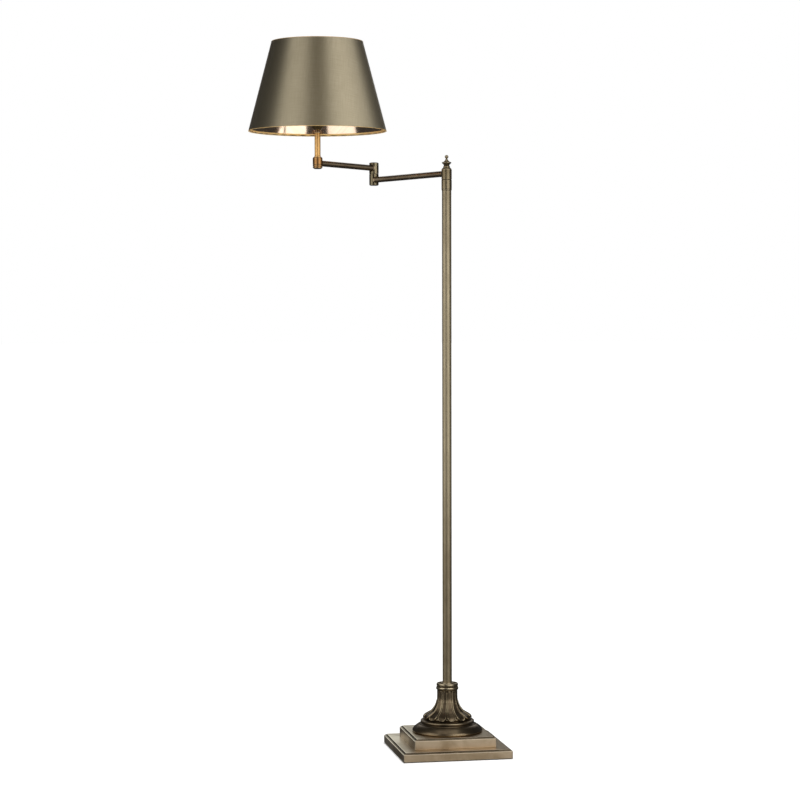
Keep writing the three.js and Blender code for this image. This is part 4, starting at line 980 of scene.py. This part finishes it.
bottom_fold, top_fold = binding(bottom_half, shade_bottom, 1), binding(top_half, shade_top, -1)
turned("bottom_binding", bottom_fold, head_place, SHADE_COLUMNS, "outer_arm", hem_foil, "shade_bottom_hem",
       ring=True)
turned("top_binding", top_fold, head_place, SHADE_COLUMNS, "outer_arm", hem_foil, "shade_top_hem", ring=True)

# %% [markdown]
# A wire carrier holds the shade: three spokes rise from a flat ring that is clamped on the lampholder.
# Bent wire could be a curve with a round bevel. Here it is one more grid, a ring carried along a path,
# because the grid closes both ends of the wire at a point.

# %% Shade carrier
gimbal_bottom, gimbal_top = ends("shade_gimbal")
gimbal_half = half("shade_gimbal")
gimbal = rounded([(holder_half + 0.3, gimbal_bottom, 0.3), (gimbal_half, gimbal_bottom, 0.6),
                  (gimbal_half, gimbal_top, 0.6), (holder_half + 0.3, gimbal_top, 0.3)])
turned("carrier_ring", gimbal, head_place, 96, "outer_arm", steel, "shade_gimbal", ring=True)


def wire(points, radius, columns=16):
    """A round wire along a curve in the plane of its heading and the vertical: at each point the ring
    stands across the curve's direction."""
    ahead = np.gradient(points, axis=0)
    ahead /= np.linalg.norm(ahead, axis=1, keepdims=True)
    side = np.cross(ahead, (0, 0, 1.0))
    side /= np.linalg.norm(side, axis=1, keepdims=True)
    lift = np.cross(side, ahead)
    angle = np.arange(columns)[None, :, None] * 2 * np.pi / columns
    ring = np.cos(angle) * side[:, None] * -1 + np.sin(angle) * lift[:, None]
    body = points[:, None] + radius * ring
    return np.concatenate([body[:1] * 0 + points[:1, None], body, body[-1:] * 0 + points[-1:, None]])


gimbal_middle = (gimbal_bottom + gimbal_top) / 2
spoke_radius = 1.3
reach = top_half - 4.2
for number in (1, 2, 3):
    azimuth = np.radians(90 + 120 * (number - 1))
    _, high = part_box(f"shade_spoke_{number}")
    spoke_top = high.z / MM - spoke_radius
    bend = smooth([(gimbal_half - 0.6, gimbal_middle), (gimbal_half + 6, gimbal_middle + 0.6),
                   (gimbal_half + (reach - gimbal_half) * 0.66, (gimbal_middle + spoke_top) / 2 + 8),
                   (reach - 1.5, spoke_top)], 12)
    outwards = np.array((np.cos(azimuth), np.sin(azimuth), 0))
    line = bend[:, :1] * outwards + bend[:, 1:] * np.array((0, 0, 1.0))
    spoke = wire(line * MM + head_place, spoke_radius * MM)
    piece(f"carrier_wire_{number}", [skin(spoke)], "outer_arm", steel, f"shade_spoke_{number}")

# %% [markdown]
# ## Flex inlet and inner parts
# A rubber bush guards the hole at the back of the plinth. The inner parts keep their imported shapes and
# only get their finishes.

# %% Flex bush
bush_low, bush_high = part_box("cord_bush")
bush_centre = ((bush_low.x + bush_high.x) / 2, 0, (bush_low.z + bush_high.z) / 2)
bush_half = (bush_high.x - bush_low.x) / 2 / MM
back = half("lower_plinth")
flex_bore, thread_half = 3.5, 5.0
bush_start, bush_end = bush_low.y / MM, bush_high.y / MM
bush_line = rounded([(flex_bore, bush_start, 0.3), (thread_half, bush_start, 0.3),
                     (thread_half, back - 0.1, 0.2), (bush_half, back, 0.3), (bush_half - 0.8, bush_end, 0.9),
                     (flex_bore, bush_end, 0.6)])
piece("flex_bush", [skin(revolve(bush_line, bush_centre, 64, (0, 1, 0)), True)], "base", rubber, "cord_bush")

# %% Finishes of the inner parts
inner_finishes = {
    iron: ["base_weight"],
    steel: ["base_washer", "base_nut", "base_rod", "hub_spindle", "elbow_bolt", "elbow_nut", "stem_rod",
            "bulb_cap", "shade_bottom_wire", "shade_top_wire"],
    rubber: ["cord_bush_nut"],
    holder_brass: ["pole_plug", "holder_contact"],
    nylon: ["hub_bush", "elbow_bush"],
    porcelain: ["holder_insert"],
}
for finish, names in inner_finishes.items():
    for name in names:
        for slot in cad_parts[name].material_slots:
            slot.material = finish
print("inner parts finished:", sum(len(names) for names in inner_finishes.values()))
